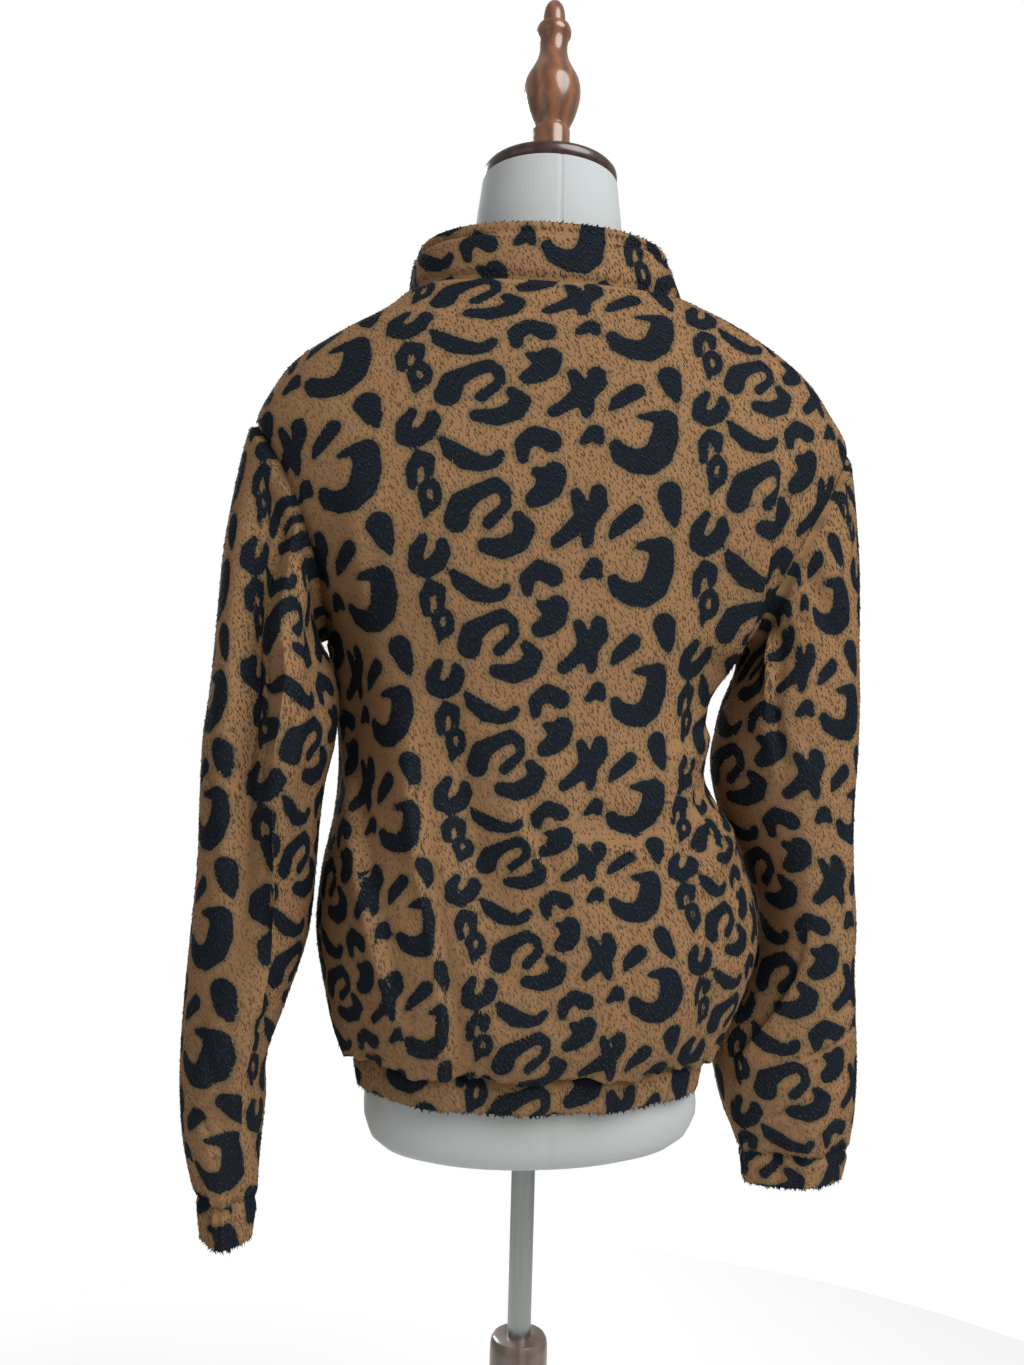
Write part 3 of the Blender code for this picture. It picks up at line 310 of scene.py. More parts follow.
# The print: a lattice of spots, charted in units of PRINT_UNIT, right and down
PRINT_UNIT = 0.0007
PRINT_ACROSS = (290.0, -26.0)
PRINT_DOWN = (0.0, 126.0)
PRINT_CHART_STEPS = (290, 126)
CHART_MIDDLE = -100
CHART_REACH = (330, 190)
CHART_NEIGHBOURS = (-1, 0, 1, 2)
SPOTS = (
    ("hook", ((-6.4, -24, 3), (10.4, -25, 7), (22, -21, 13), (21, -4, 15), (15.5, 12.5, 15),
              (3.7, 22.5, 13.5), (-11.4, 23.2, 12), (-24, 18, 10.5), (-29.5, 10, 7.5))),
    ("drop", ((27, -72, 14), (31, -57, 10), (34, -46, 4))),
    ("dash", ((-34, -31, 3), (-27, -40, 7.5), (-9, -54, 9))),
    ("fork_left_horn", ((-69, -70, 6), (-60, -47, 10.5))),
    ("fork_right_horn", ((-47, -71, 9), (-46, -61, 9), (-58, -48, 10.5))),
    ("fork_arm", ((-60, -47, 11), (-79, -32, 7), (-89, -25, 6.5))),
    ("fork_foot", ((-60, -46, 11.5), (-57, -30, 7), (-58, -24, 5))),
    ("bean", ((-50, -3.5, 9), (-62, 6.5, 4))),
    ("bean_foot", ((-50, -3, 9), (-46, 4, 5.5))),
    ("arch", ((-120, 23, 6), (-120, 10, 8), (-107, 0, 9), (-93, 7, 11))),
    ("mitten", ((-90, 38, 12), (-94, 49, 13), (-102, 57, 11), (-111, 62, 8.5))),
    ("mitten_thumb", ((-94, 44, 11), (-108, 36, 5))),
    ("smile", ((-127, -47, 6.5), (-119, -37, 9.5), (-126, -25, 10.5), (-143, -18, 10),
               (-161, -21, 7.5))),
    ("crook", ((-187, 80, 13), (-182, 65, 11.5), (-165, 55, 8), (-147.5, 48, 7.5),
               (-138.5, 54, 6), (-137, 67, 5), (-144, 74, 5.5), (-156, 84, 6.5))),
    ("boat", ((-196, 2, 3.5), (-188, 13, 9), (-175, 23, 10.5), (-160, 28, 8),
              (-148, 27, 6), (-142, 20, 5.5))),
    ("ring", ((-203, 54, 4.5), (-205, 63, 4.5), (-211, 66, 5), (-217, 62, 4.5), (-219, 54, 4.5),
              (-217, 46, 4.5), (-211, 42.5, 4.5), (-205, 46, 4.5), (-203, 54, 4.5))),
    ("ring_tail", ((-216, 68, 5), (-217, 77, 2))),
    ("cap", ((-227, 44, 5), (-227, 28, 6), (-219, 18, 7), (-210, 20.5, 6.5), (-210, 33, 5))),
    ("claw", ((-221, -30, 5), (-230, -17, 8), (-231, -4, 8.5), (-221, 0, 9), (-209, -6, 9),
              (-202, -17, 8), (-203, -24, 6))),
)

# Where the print lies: the hooks' heights at the centre back from the top down, and at
# some heights how far right they are, how far apart their columns are, and how much
# lower the column to the left is
HOOK_HEIGHTS = (1.2061, 1.1246, 1.0258, 0.9381, 0.8558, 0.7962, 0.7263, 0.655)
HOOK_COLUMNS = ("z", "place", "apart", "drop")
HOOK_ROWS = (
    (1.206, 0.0583, 0.232, 0.037), (1.125, 0.0590, 0.221, 0.038),
    (1.026, 0.0567, 0.204, 0.024), (0.938, 0.0602, 0.191, 0.020),
    (0.856, 0.0577, 0.179, 0.020), (0.796, 0.0558, 0.168, 0.030),
    (0.726, 0.0740, 0.175, 0.035),
)
YOKE_STRETCH = 1.5
FAR_COLUMN = 1.2
FRONT_PRINT = {"front_left": (0.034, 0.030), "front_right": (-0.081, 0.000)}

# Sleeves: the angle and height of one hook, and how far its column leans to the right
SLEEVE_PRINT = {"left": (31.0, 0.9265, 0.11), "right": (67.0, 0.9340, 0.22)}
SLEEVE_PRINT_STRETCH = 1.06
SLEEVE_SEAM_ANGLE = 210.0

# Bands cut across the cloth: how far down the print their edge is, and a shift to the right
COLLAR_PRINT = (0.030, 0.012)
HEM_PRINT = (0.052, 0.090)
CUFF_PRINT_SHIFT = (0.03, 0.012)
SEAM_JUMP = 0.1

# Pile: how the locks lie, in the cloth's own plane
NAP_LEAN = 0.45
NAP_TURN = -24.0
LOCKS_PER_M2 = 145000
LOCK_SINK = 0.0002
STRAY_SHARE = 0.09
STRAY_LIFT = 2.6
NAP_OUTWARD = 0.35
NAP_SPREAD = 0.2
LENGTH_RANGE = (0.65, 1.25)
WIDTH_RANGE = (0.7, 1.3)
LIFT_RANGE = (0.45, 1.35)
SHOULDER_PLACE = 0.36
SHOULDER_LIFT = 0.15
SHOULDER_SINK = 0.9
ROOT_LIFT = 0.42
EDGE_SCATTER = 0.0003
TONE_SCALE = 45.0
TONE_SCATTER = 0.40
TONE_LIMITS = (-0.45, 0.35)
HALO_WIDTH = 0.0028
HALO_SHARE = 0.6
OLIVE_TONE = 3
PILE_SEED = 11

# Tones of the cloth, as shares of its own colours; the light pile tone is partly a painted
# highlight
OLIVE_GROUND = (0.55, 0.68, 0.70)
OLIVE_PILE = (0.66, 0.76, 0.80)
LIGHT_PILE_AND_HIGHLIGHT = (1.30, 1.31, 1.32)
SOILED_COTTON = (0.97, 0.93, 0.84)
RAGGED_EDGE = 0.0022
PRINT_EDGE = 0.0003
HALO_FROM = 0.0005
HALO_TO = 0.0035

# Dress form
FORM_COLUMNS = ("z", "centre_x", "half_width", "back", "front", "square")
FORM_ROWS = (
    (0.5800, -0.003, 0.104, 0.064, 0.064, 2.1),
    (0.5860, -0.003, 0.119, 0.076, 0.076, 2.2),
    (0.6000, -0.0045, 0.1310, 0.084, 0.084, 2.2),
    (0.6230, -0.0045, 0.1335, 0.087, 0.086, 2.2),
    (0.6340, -0.0030, 0.1315, 0.088, 0.086, 2.2),
    (0.6700, -0.003, 0.1315, 0.088, 0.086, 2.2),
    (0.7400, -0.002, 0.1360, 0.094, 0.087, 2.2),
    (0.8200, -0.001, 0.1260, 0.087, 0.085, 2.2),
    (0.8900, 0.000, 0.1150, 0.079, 0.083, 2.1),
    (0.9500, 0.000, 0.1220, 0.081, 0.092, 2.1),
    (1.0100, 0.000, 0.1350, 0.086, 0.107, 2.2),
    (1.0600, 0.000, 0.1450, 0.088, 0.110, 2.3),
    (1.1000, 0.000, 0.1560, 0.086, 0.100, 2.4),
    (1.1350, 0.000, 0.1680, 0.081, 0.088, 2.4),
    (1.1705, 0.000, 0.1740, 0.075, 0.079, 2.4),
    (1.1948, 0.000, 0.1620, 0.069, 0.072, 2.3),
    (1.2148, 0.000, 0.1340, 0.064, 0.067, 2.2),
    (1.2338, 0.000, 0.1020, 0.060, 0.063, 2.1),
    (1.2498, 0.000, 0.0780, 0.0575, 0.060, 2.0),
    (1.2700, 0.000, 0.0640, 0.0560, 0.0575, 2.0),
    (1.3200, 0.000, 0.0585, 0.0555, 0.0560, 2.0),
    (1.3520, 0.000, 0.0545, 0.0530, 0.0530, 2.0),
)
FORM_SEAMS = (90.0, 270.0, 0.0, 180.0)
FORM_SEAM_DEPTH = 0.0009
FORM_SEAM_REACH = 0.0011
FORM_SEGMENTS = 288
FORM_RING_STEP = 0.009

# Turned pieces: radius and height, from the top down
CAP_PROFILE = (
    (0.0300, 1.36445), (0.0440, 1.3640), (0.0490, 1.3634), (0.0520, 1.3622), (0.0537, 1.3603),
    (0.0540, 1.3585), (0.0540, 1.3560), (0.0534, 1.3538), (0.0520, 1.3523),
)
FINIAL_PROFILE = (
    (0.0022, 1.5018), (0.0045, 1.5005), (0.0068, 1.4975), (0.0080, 1.4940), (0.0086, 1.4900),
    (0.0088, 1.4860), (0.0090, 1.4838), (0.0103, 1.4826), (0.0126, 1.4812), (0.0138, 1.4785),
    (0.0140, 1.4762), (0.0137, 1.4738), (0.0126, 1.4720), (0.0118, 1.4702), (0.0112, 1.4670),
    (0.0110, 1.4620), (0.0117, 1.4575), (0.0130, 1.4530), (0.0151, 1.4490), (0.0172, 1.4450),
    (0.0196, 1.4410), (0.0214, 1.4372), (0.0224, 1.4330), (0.0227, 1.4290), (0.0225, 1.4240),
    (0.0216, 1.4190), (0.0202, 1.4140), (0.0185, 1.4090), (0.0162, 1.4040), (0.0143, 1.4002),
    (0.0140, 1.3985), (0.0149, 1.3970), (0.0150, 1.3940), (0.0150, 1.3648),
)
COLUMN_PROFILE = (
    (0.0098, 0.4240), (0.0185, 0.4240), (0.0210, 0.4230), (0.0224, 0.4205), (0.0231, 0.4160),
    (0.0233, 0.4080), (0.0232, 0.3920), (0.0226, 0.3865), (0.0212, 0.3832), (0.0190, 0.3812),
    (0.0185, 0.3795), (0.0188, 0.3770), (0.0200, 0.3700), (0.0235, 0.3520), (0.0270, 0.3300),
    (0.0296, 0.3050), (0.0310, 0.2800), (0.0311, 0.2600), (0.0300, 0.2400), (0.0270, 0.2200),
    (0.0235, 0.2000), (0.0222, 0.1920), (0.0220, 0.1882), (0.0250, 0.1868), (0.0300, 0.1830),
    (0.0335, 0.1770), (0.0350, 0.1690), (0.0350, 0.0860), (0.0340, 0.0800), (0.0310, 0.0762),
    (0.0250, 0.0760),
)
TURNED_SEGMENTS = 72
POLE_RADIUS = 0.0095
POLE_BOTTOM = 0.3305
POLE_TOP = 0.6390
SOCKET_GAP = 0.0003
SOCKET_DEPTH = 0.060

# Legs: stations out from the column, with the top and underside heights
LEG_STATIONS = (
    (0.0353, 0.1600, 0.1140), (0.055, 0.1592, 0.1146), (0.080, 0.1580, 0.1130),
    (0.105, 0.1500, 0.1050), (0.130, 0.1400, 0.0925), (0.155, 0.1230, 0.0785),
    (0.180, 0.1040, 0.0600), (0.205, 0.0830, 0.0400), (0.230, 0.0620, 0.0215),
    (0.256, 0.0425, 0.0000), (0.278, 0.0310, 0.0000), (0.300, 0.0220, 0.0000),
)
LEG_WIDTH = 0.024
LEG_EDGE = 0.0032
LEG_NAMES = ("leg_left", "leg_back", "leg_right", "leg_front")

# Zip teeth
TEETH_PITCH = 0.0030
TOOTH_SIZE = (0.0034, 0.0019, 0.0024)
TEETH_RECESS = 0.0006
TOOTH_OFFSET = 0.00125
TOOTH_EDGE = 0.00022
NOSE_LENGTH = 0.0007
NOSE_TAPER = (1.0, 0.62, 0.75)
ZIP_SAMPLES = 120
ZIP_END_GAP = 0.002

# The photograph's camera
CAMERA_YAW = 9.0
CAMERA_ROLL = 1.55
CAMERA_DISTANCE = 0.93
CAMERA_HEIGHT = 0.90
FOCAL_PIXELS = 1150.0
LONG_SIDE_PIXELS = 1365.0
SHIFT_PIXELS = (22.8, 63.1)
FLOOR_RADIUS = 1.15

# Lamps: place and size of each soft disc, all turned to the jacket's middle
LAMPS = {
    "key": ((-1.15, 1.80, 2.45), 2.2),
    "fill": ((1.9, 1.5, 1.3), 1.6),
    "front": ((0.9, -2.1, 1.9), 1.2),
}
LIT_MIDDLE = (0.0, 0.0, 0.95)


class JacketLook(bpy.types.PropertyGroup):
    """Sizes and colours of the fleece."""

    lock_length: bpy.props.FloatProperty(
        name="Lock length", description="Length of one lock of the pile",
        default=0.0040, min=0.002, max=0.02, unit="LENGTH")
    lock_width: bpy.props.FloatProperty(
        name="Lock width", description="Width of one lock of the pile",
        default=0.0014, min=0.0005, max=0.006, unit="LENGTH")
    lock_lift: bpy.props.FloatProperty(
        name="Lock lift", description="How far a lock's tip stands off the ground",
        default=0.0003, min=0.0, max=0.005, unit="LENGTH")
    tan: bpy.props.FloatVectorProperty(
        name="Ground colour", description="Camel ground of the print",
        default=(0.290, 0.160, 0.076), size=3, subtype="COLOR", min=0.0, max=1.0)
    spot: bpy.props.FloatVectorProperty(
        name="Spot colour", description="Blue-black spots of the print",
        default=(0.0070, 0.0105, 0.0160), size=3, subtype="COLOR", min=0.0, max=1.0)


class FormLook(bpy.types.PropertyGroup):
    """Colours of the dress form and its stand."""

    cotton: bpy.props.FloatVectorProperty(
        name="Cover", description="Cotton cover of the form",
        default=(0.47, 0.50, 0.50), size=3, subtype="COLOR", min=0.0, max=1.0)
    varnish: bpy.props.FloatVectorProperty(
        name="Varnished wood", description="Wood of the neck finial",
        default=(0.27, 0.105, 0.042), size=3, subtype="COLOR", min=0.0, max=1.0)
    dark: bpy.props.FloatVectorProperty(
        name="Dark wood", description="Wood of the neck cap",
        default=(0.060, 0.022, 0.013), size=3, subtype="COLOR", min=0.0, max=1.0)
    stand: bpy.props.FloatVectorProperty(
        name="Stand wood", description="Wood of the column and legs",
        default=(0.15, 0.098, 0.075), size=3, subtype="COLOR", min=0.0, max=1.0)


class StudioLook(bpy.types.PropertyGroup):
    """Light and floor of the studio."""

    sky: bpy.props.FloatProperty(
        name="Surrounding light", description="Strength of the white light from all sides",
        default=0.36, min=0.0)
    key_power: bpy.props.FloatProperty(
        name="Key light", description="Power of the large soft light",
        default=78.0, min=0.0, unit="POWER")
    fill_power: bpy.props.FloatProperty(
        name="Fill light", description="Power of the light on the other side",
        default=3.0, min=0.0, unit="POWER")
    front_power: bpy.props.FloatProperty(
        name="Front light", description="Power of the light on the zip's side",
        default=52.0, min=0.0, unit="POWER")
    floor: bpy.props.FloatVectorProperty(
        name="Floor", description="Colour of floor and backdrop",
        default=(0.86, 0.86, 0.86), size=3, subtype="COLOR", min=0.0, max=1.0)


# Tables and sections


def read_table(table, columns, levels):
    """Columns of a table at any levels, by a smooth curve through its rows."""
    rows = np.array(table)
    rows = rows[np.argsort(rows[:, 0])]
    at = rows[:, 0]
    levels = np.clip(np.asarray(levels, float), at[0], at[-1])
    slopes = np.gradient(rows, at, axis=0)
    low = np.clip(np.searchsorted(at, levels) - 1, 0, len(at) - 2)
    span = (at[low + 1] - at[low])[..., None]
    t = (levels - at[low])[..., None] / span
    value = (
        (2 * t**3 - 3 * t**2 + 1) * rows[low]
        + (t**3 - 2 * t**2 + t) * span * slopes[low]
        + (3 * t**2 - 2 * t**3) * rows[low + 1]
        + (t**3 - t**2) * span * slopes[low + 1]
    )
    return {name: value[..., i] for i, name in enumerate(columns)}


def signed_power(value, power):
    return np.sign(value) * np.abs(value) ** power


def section_points(row, angles):
    """Points of levels of the jacket; 0 is the left side and 90 degrees the back."""
    cos, sin = np.cos(angles), np.sin(angles)
    row = {name: value[..., None] for name, value in row.items()}
    power = 2.0 / row["square"]
    x = np.where(cos >= 0, row["left"], row["right"]) * signed_power(cos, power)
    y = np.where(sin >= 0, row["back"], row["front"]) * signed_power(sin, power)
    depth_z = np.where(sin >= 0, row["back_z"], row["front_z"])
    z = row["side_z"] * cos**2 + depth_z * sin**2
    lean = SHOULDER_LEAN * np.clip((z - HEM_SEAM) / (ARMHOLE_TOP - HEM_SEAM), 0.0, 1.0)
    return np.stack((x, y, z + lean * x), axis=-1)


def lengths_across(grid):
    """How far each point is along its row, from the row's first point."""
    lengths = np.linalg.norm(np.diff(grid, axis=1), axis=2).cumsum(axis=1)
    return np.concatenate((np.zeros((len(grid), 1)), lengths), axis=1)


def section_arcs(row, start, end, steps):
    """Points evenly spaced along each level, between two angles that may change."""
    share = np.linspace(0.0, 1.0, ARC_SAMPLES)
    angles = start[:, None] + (end - start)[:, None] * share[None, :]
    dense = section_points(row, angles)
    lengths = lengths_across(dense)
    out = np.empty((len(dense), steps + 1, 3))
    for i in range(len(dense)):
        wanted = np.linspace(0.0, lengths[i, -1], steps + 1)
        for axis in range(3):
            out[i, :, axis] = np.interp(wanted, lengths[i], dense[i, :, axis])
    return out


def armhole_angles(row, levels, depth_key):
    share = np.clip((levels - UNDERARM) / (ARMHOLE_TOP - UNDERARM), 0.0, 1.0)
    depth = ARMHOLE_HALF_DEPTH * np.sqrt(np.maximum(0.0, 1.0 - (2.0 * share - 1.0) ** 2))
    return np.arcsin((depth / row[depth_key]) ** (row["square"] / 2.0))


def front_edge_angles(row, side):
    half = row["left"] if side > 0 else row["right"]
    turn = np.arccos((ZIP_HALF_GAP / half) ** (row["square"] / 2.0))
    return -turn if side > 0 else math.pi + turn


def body_levels():
    below = np.linspace(HEM_SEAM, UNDERARM, STEPS_BELOW_ARM + 1)[:-1]
    turn = np.arange(ARMHOLE_STEPS) * math.pi / ARMHOLE_STEPS
    at_arm = UNDERARM + (ARMHOLE_TOP - UNDERARM) * (1.0 - np.cos(turn)) / 2.0
    yoke = np.linspace(ARMHOLE_TOP, NECK_SEAM, YOKE_STEPS + 1)
    return np.concatenate((below, at_arm, yoke))


def back_grid(table, levels):
    row = read_table(table, LEVEL_COLUMNS, levels)
    edge = armhole_angles(row, levels, "back")
    return section_arcs(row, edge, math.pi - edge, BACK_COLUMNS)


def front_grid(table, levels, side):
    row = read_table(table, LEVEL_COLUMNS, levels)
    edge = armhole_angles(row, levels, "front")
    start = -edge if side > 0 else math.pi + edge
    return section_arcs(row, start, front_edge_angles(row, side), FRONT_COLUMNS)


def strip_grid(table, levels):
    """A strip from the zip over the left side, the back and the right side."""
    left = front_grid(table, levels, 1)[:, ::-1]
    right = front_grid(table, levels, -1)
    return np.concatenate((left, back_grid(table, levels)[:, 1:], right[:, 1:]), axis=1)


def armhole_loop(back, front, side):
    """The armhole's points from the shoulder down the back and up the front."""
    rows = slice(STEPS_BELOW_ARM, STEPS_BELOW_ARM + ARMHOLE_STEPS + 1)
    down_back = back[rows, 0 if side > 0 else -1][::-1]
    up_front = front[rows, 0]
    return np.concatenate((down_back, up_front[1:-1]))


def sleeve_points(table, z, angles, side):
    row = read_table(table, SLEEVE_COLUMNS, z)
    power = 2.0 / row["square"]
    x = row["centre_x"] + row["half_width"] * signed_power(np.cos(angles), power)
    y = row["centre_y"] + row["half_depth"] * signed_power(np.sin(angles), power)
    return np.stack((side * x, y, z), axis=-1)


def sleeve_grid(table, loop, side):
    """A sleeve from its armhole down, its head fanning out to level rings."""
    angles = np.arange(len(loop)) * 2.0 * math.pi / len(loop)
    rows = []
    for share in np.linspace(0.0, 1.0, HEAD_STEPS + 1) ** HEAD_EASE:
        z = loop[:, 2] + (SLEEVE_HEAD_END - loop[:, 2]) * share
        ring = loop + (sleeve_points(table, z, angles, side) - loop) * share**HEAD_ROUNDNESS
        ring[:, 2] = z
        rows.append(ring)
    bottom = min(row[0] for row in table)
    for z in np.linspace(SLEEVE_HEAD_END, bottom, SLEEVE_STEPS + 1)[1:]:
        rows.append(sleeve_points(table, np.full(len(loop), z), angles, side))
    return np.array(rows)


def cuff_grid(sleeve, depth):
    """The elastic casing below a sleeve, drawn in a little towards its end."""
    top = sleeve[-1]
    centre = top.mean(axis=0)
    rows = []
    for share in np.linspace(0.0, 1.0, CUFF_STEPS + 1):
        ring = centre + (top - centre) * (1.0 - (1.0 - CUFF_TAPER) * share)
        ring[:, 2] = top[:, 2] - depth * share
        rows.append(ring)
    return np.array(rows)


# Folds, creases and gathers, as heights along the cloth's normals


def distance_to_line(a, b, ends):
    a0, b0, a1, b1 = ends
    run = np.array((a1 - a0, b1 - b0))
    held = np.clip(((a - a0) * run[0] + (b - b0) * run[1]) / (run @ run), 0.0, 1.0)
    return np.hypot(a - a0 - held * run[0], b - b0 - held * run[1]), held


def fold_height(distance, along, reach, height):
    start, run = FOLD_TAPER
    taper = np.sin(math.pi * (start + run * along))
    return height * taper * np.exp(-((distance / reach) ** 2))


def signed_side(a, b, ends):
    """Distance from a line, positive on the side that is right of it looking down it."""
    a0, b0, a1, b1 = ends
    run = np.array((a1 - a0, b1 - b0))
    run /= np.linalg.norm(run)
    return (a - a0) * -run[1] + (b - b0) * run[0]


def step_height(side, distance, along, reach, height):
    """A fold that lies over the cloth beside it, with a steep edge along its line."""
    start, run, power = STEP_TAPER
    taper = np.sin(math.pi * (start + run * along)) ** power
    return height * taper * np.tanh(side / STEP_EDGE) * np.exp(-((distance / reach) ** 2))


def wandering(turn, waves, wander):
    """Waves round a piece whose spacing drifts, as gathered cloth's does."""
    amount, drifts = wander
    return np.sin(waves * turn + amount * np.sin(drifts * turn))


def body_heights(points):
    x, y, z = points[..., 0], points[..., 1], points[..., 2]
    total = np.zeros(x.shape)
    for values in BODY_STEPS:
        step = dict(zip(STEP_COLUMNS, values))
        ends = (step["x0"], step["z0"], step["x1"], step["z1"])
        distance, along = distance_to_line(x, z, ends)
        facing = np.clip(step["face"] * y / FACING_DEPTH, 0.0, 1.0)
        side = signed_side(x, z, ends)
        total += facing * step_height(side, distance, along, step["reach"], step["height"])
    for values in BODY_FOLDS + BODY_CREASES:
        fold = dict(zip(FOLD_COLUMNS, values))
        ends = (fold["x0"], fold["z0"], fold["x1"], fold["z1"])
        distance, along = distance_to_line(x, z, ends)
        facing = np.clip(fold["face"] * y / FACING_DEPTH, 0.0, 1.0)
        total += facing * fold_height(distance, along, fold["reach"], fold["height"])
    turn = np.arctan2(y, x)
    below = np.abs(z - HEM_SEAM)
    gathers = GATHER_HEIGHT * np.sin(GATHER_WAVES * turn) * np.exp(-below / GATHER_RISE)
    share, waves, start = GATHER_UNEVEN
    uneven = 1.0 + share * np.sin(waves * turn + start)
    fine = wandering(turn, FINE_GATHER_WAVES, GATHER_WANDER) * uneven
    gathers += FINE_GATHER_HEIGHT * fine * np.exp(-below / FINE_GATHER_RISE)
    above = np.clip(z - HEM_SEAM, 0.0, None)
    overhang = HEM_OVERHANG * np.minimum(1.0, above / HEM_OVERHANG_EDGE)
    gathers += overhang * np.exp(-above / HEM_OVERHANG_RISE)
    calm_zip = np.clip(1.0 - np.exp(-((x / ZIP_CALM_REACH) ** 2)) + (y > 0.0), 0.0, 1.0)
    return (total + gathers) * calm_zip


def sleeve_heights(grid, folds, overlaps, table):
    """Heights on a sleeve, easing into the body's at the armhole."""
    rows, count = grid.shape[:2]
    z = grid[..., 2]
    half_depth = read_table(table, SLEEVE_COLUMNS, z[:, 0])["half_depth"][:, None]
    round_scale = math.radians(1.0) * half_depth
    degrees = np.arange(count) * 360.0 / count
    total = np.zeros((rows, count))
    for values in folds:
        fold = dict(zip(SLEEVE_FOLD_COLUMNS, values))
        share = np.clip((z - fold["z0"]) / (fold["z1"] - fold["z0"]), 0.0, 1.0)
        line = (fold["angle0"] + (fold["angle1"] - fold["angle0"]) * share) * round_scale
        beyond = np.abs(z - (fold["z0"] + (fold["z1"] - fold["z0"]) * share))
        distance = np.hypot(degrees[None, :] * round_scale - line, beyond)
        total += fold_height(distance, share, fold["reach"], fold["height"])
    for values in overlaps:
        step = dict(zip(SLEEVE_FOLD_COLUMNS, values))
        share = np.clip((z - step["z0"]) / (step["z1"] - step["z0"]), 0.0, 1.0)
        line = (step["angle0"] + (step["angle1"] - step["angle0"]) * share) * round_scale
        beyond = np.abs(z - (step["z0"] + (step["z1"] - step["z0"]) * share))
        side = degrees[None, :] * round_scale - line
        distance = np.hypot(side, beyond)
        total += step_height(side, distance, share, step["reach"], step["height"])
    turn = np.radians(degrees)[None, :]
    above = z - z[-1].mean()
    total += CUFF_GATHER * np.sin(CUFF_WAVES * turn + CUFF_TURN) * np.exp(-above / GATHER_RISE)
    fine = wandering(turn, FINE_CUFF_WAVES, CUFF_WANDER)
    total += FINE_CUFF_GATHER * fine * np.exp(-above / FINE_GATHER_RISE)
    from_seam = np.linalg.norm(grid - grid[:1], axis=2)
    own = np.clip(from_seam / SLEEVE_QUIET, 0.0, 1.0)
    at_seam = np.clip(1.0 - from_seam / (SLEEVE_QUIET / 2.0), 0.0, 1.0)
    return total * own + body_heights(grid[0])[None, :] * at_seam


def grid_normals(grid, closed, turn):
    if closed:
        across = np.roll(grid, -1, axis=1) - np.roll(grid, 1, axis=1)
    else:
        across = np.gradient(grid, axis=1)
    normals = np.cross(across, np.gradient(grid, axis=0)) * turn
    return normals / np.maximum(np.linalg.norm(normals, axis=2, keepdims=True), 1e-12)


def share_normals(pieces):
    """Points that seams share get one normal, so that the pieces meet."""
    for piece in pieces:
        piece["normals"] = grid_normals(piece["grid"], piece["closed"], piece["turn"])
    points = np.concatenate([p["grid"].reshape(-1, 3) for p in pieces])
    normals = np.concatenate([p["normals"].reshape(-1, 3) for p in pieces])
    keys = np.round(points, 6)
    _, group = np.unique(keys, axis=0, return_inverse=True)
    group = group.ravel()
    total = np.stack([np.bincount(group, normals[:, i]) for i in range(3)], axis=1)
    total /= np.maximum(np.linalg.norm(total, axis=1, keepdims=True), 1e-12)
    shared = total[group]
    start = 0
    for piece in pieces:
        size = piece["grid"].shape[0] * piece["grid"].shape[1]
        piece["normals"] = shared[start:start + size].reshape(piece["grid"].shape)
        start += size


def seam_dips(piece):
    """The small valley along each sewn border, where the seam pulls the cloth in."""
    grid, closed = piece["grid"], piece["closed"]
    down = np.linalg.norm(np.diff(grid, axis=0), axis=2).cumsum(axis=0)
    from_first = np.concatenate((np.zeros((1, grid.shape[1])), down), axis=0)
    distances = {"start": from_first, "end": from_first[-1] - from_first}
    if not closed:
        from_left = lengths_across(grid)
        distances["left"] = from_left
        distances["right"] = from_left[:, -1:] - from_left
    total = np.zeros(grid.shape[:2])
    for border in piece["sewn"]:
        total -= SEAM_DIP * np.exp(-((distances[border] / SEAM_REACH) ** 2))
    if piece["name"] == "collar":
        from_stitches = np.abs(distances["end"] - STITCH_DROP)
        total -= STITCH_DIP * np.exp(-((from_stitches / STITCH_REACH) ** 2))
    return total


# Print


def spot_distance(points, spots):
    """Distance in the chart to the nearest spot's edge, negative inside."""
    nearest = np.full(len(points), 1e9)
    for path in spots:
        for (x0, y0, r0), (x1, y1, r1) in zip(path, path[1:]):
            run = np.array((x1 - x0, y1 - y0))
            away = points - (x0, y0)
            held = np.clip(away @ run / max(run @ run, 1e-9), 0.0, 1.0)
            distance = np.linalg.norm(away - held[:, None] * run, axis=1)
            nearest = np.minimum(nearest, distance - (r0 + (r1 - r0) * held))
    return nearest


def print_chart():
    """The repeat, sampled evenly along the lattice's two steps, in metres."""
    across, down = np.array(PRINT_ACROSS), np.array(PRINT_DOWN)
    s = np.arange(PRINT_CHART_STEPS[0]) / PRINT_CHART_STEPS[0]
    t = np.arange(PRINT_CHART_STEPS[1]) / PRINT_CHART_STEPS[1]
    cell = (s[:, None, None] * across + t[None, :, None] * down).reshape(-1, 2)
    nearest = np.full(len(cell), 1e9)
    for i in CHART_NEIGHBOURS:
        for j in CHART_NEIGHBOURS:
            moved = cell - i * across - j * down
            near = np.abs(moved[:, 0] - CHART_MIDDLE) < CHART_REACH[0]
            near &= np.abs(moved[:, 1]) < CHART_REACH[1]
            found = spot_distance(moved[near], [path for _, path in SPOTS])
            nearest[near] = np.minimum(nearest[near], found)
    return nearest.reshape(PRINT_CHART_STEPS) * PRINT_UNIT


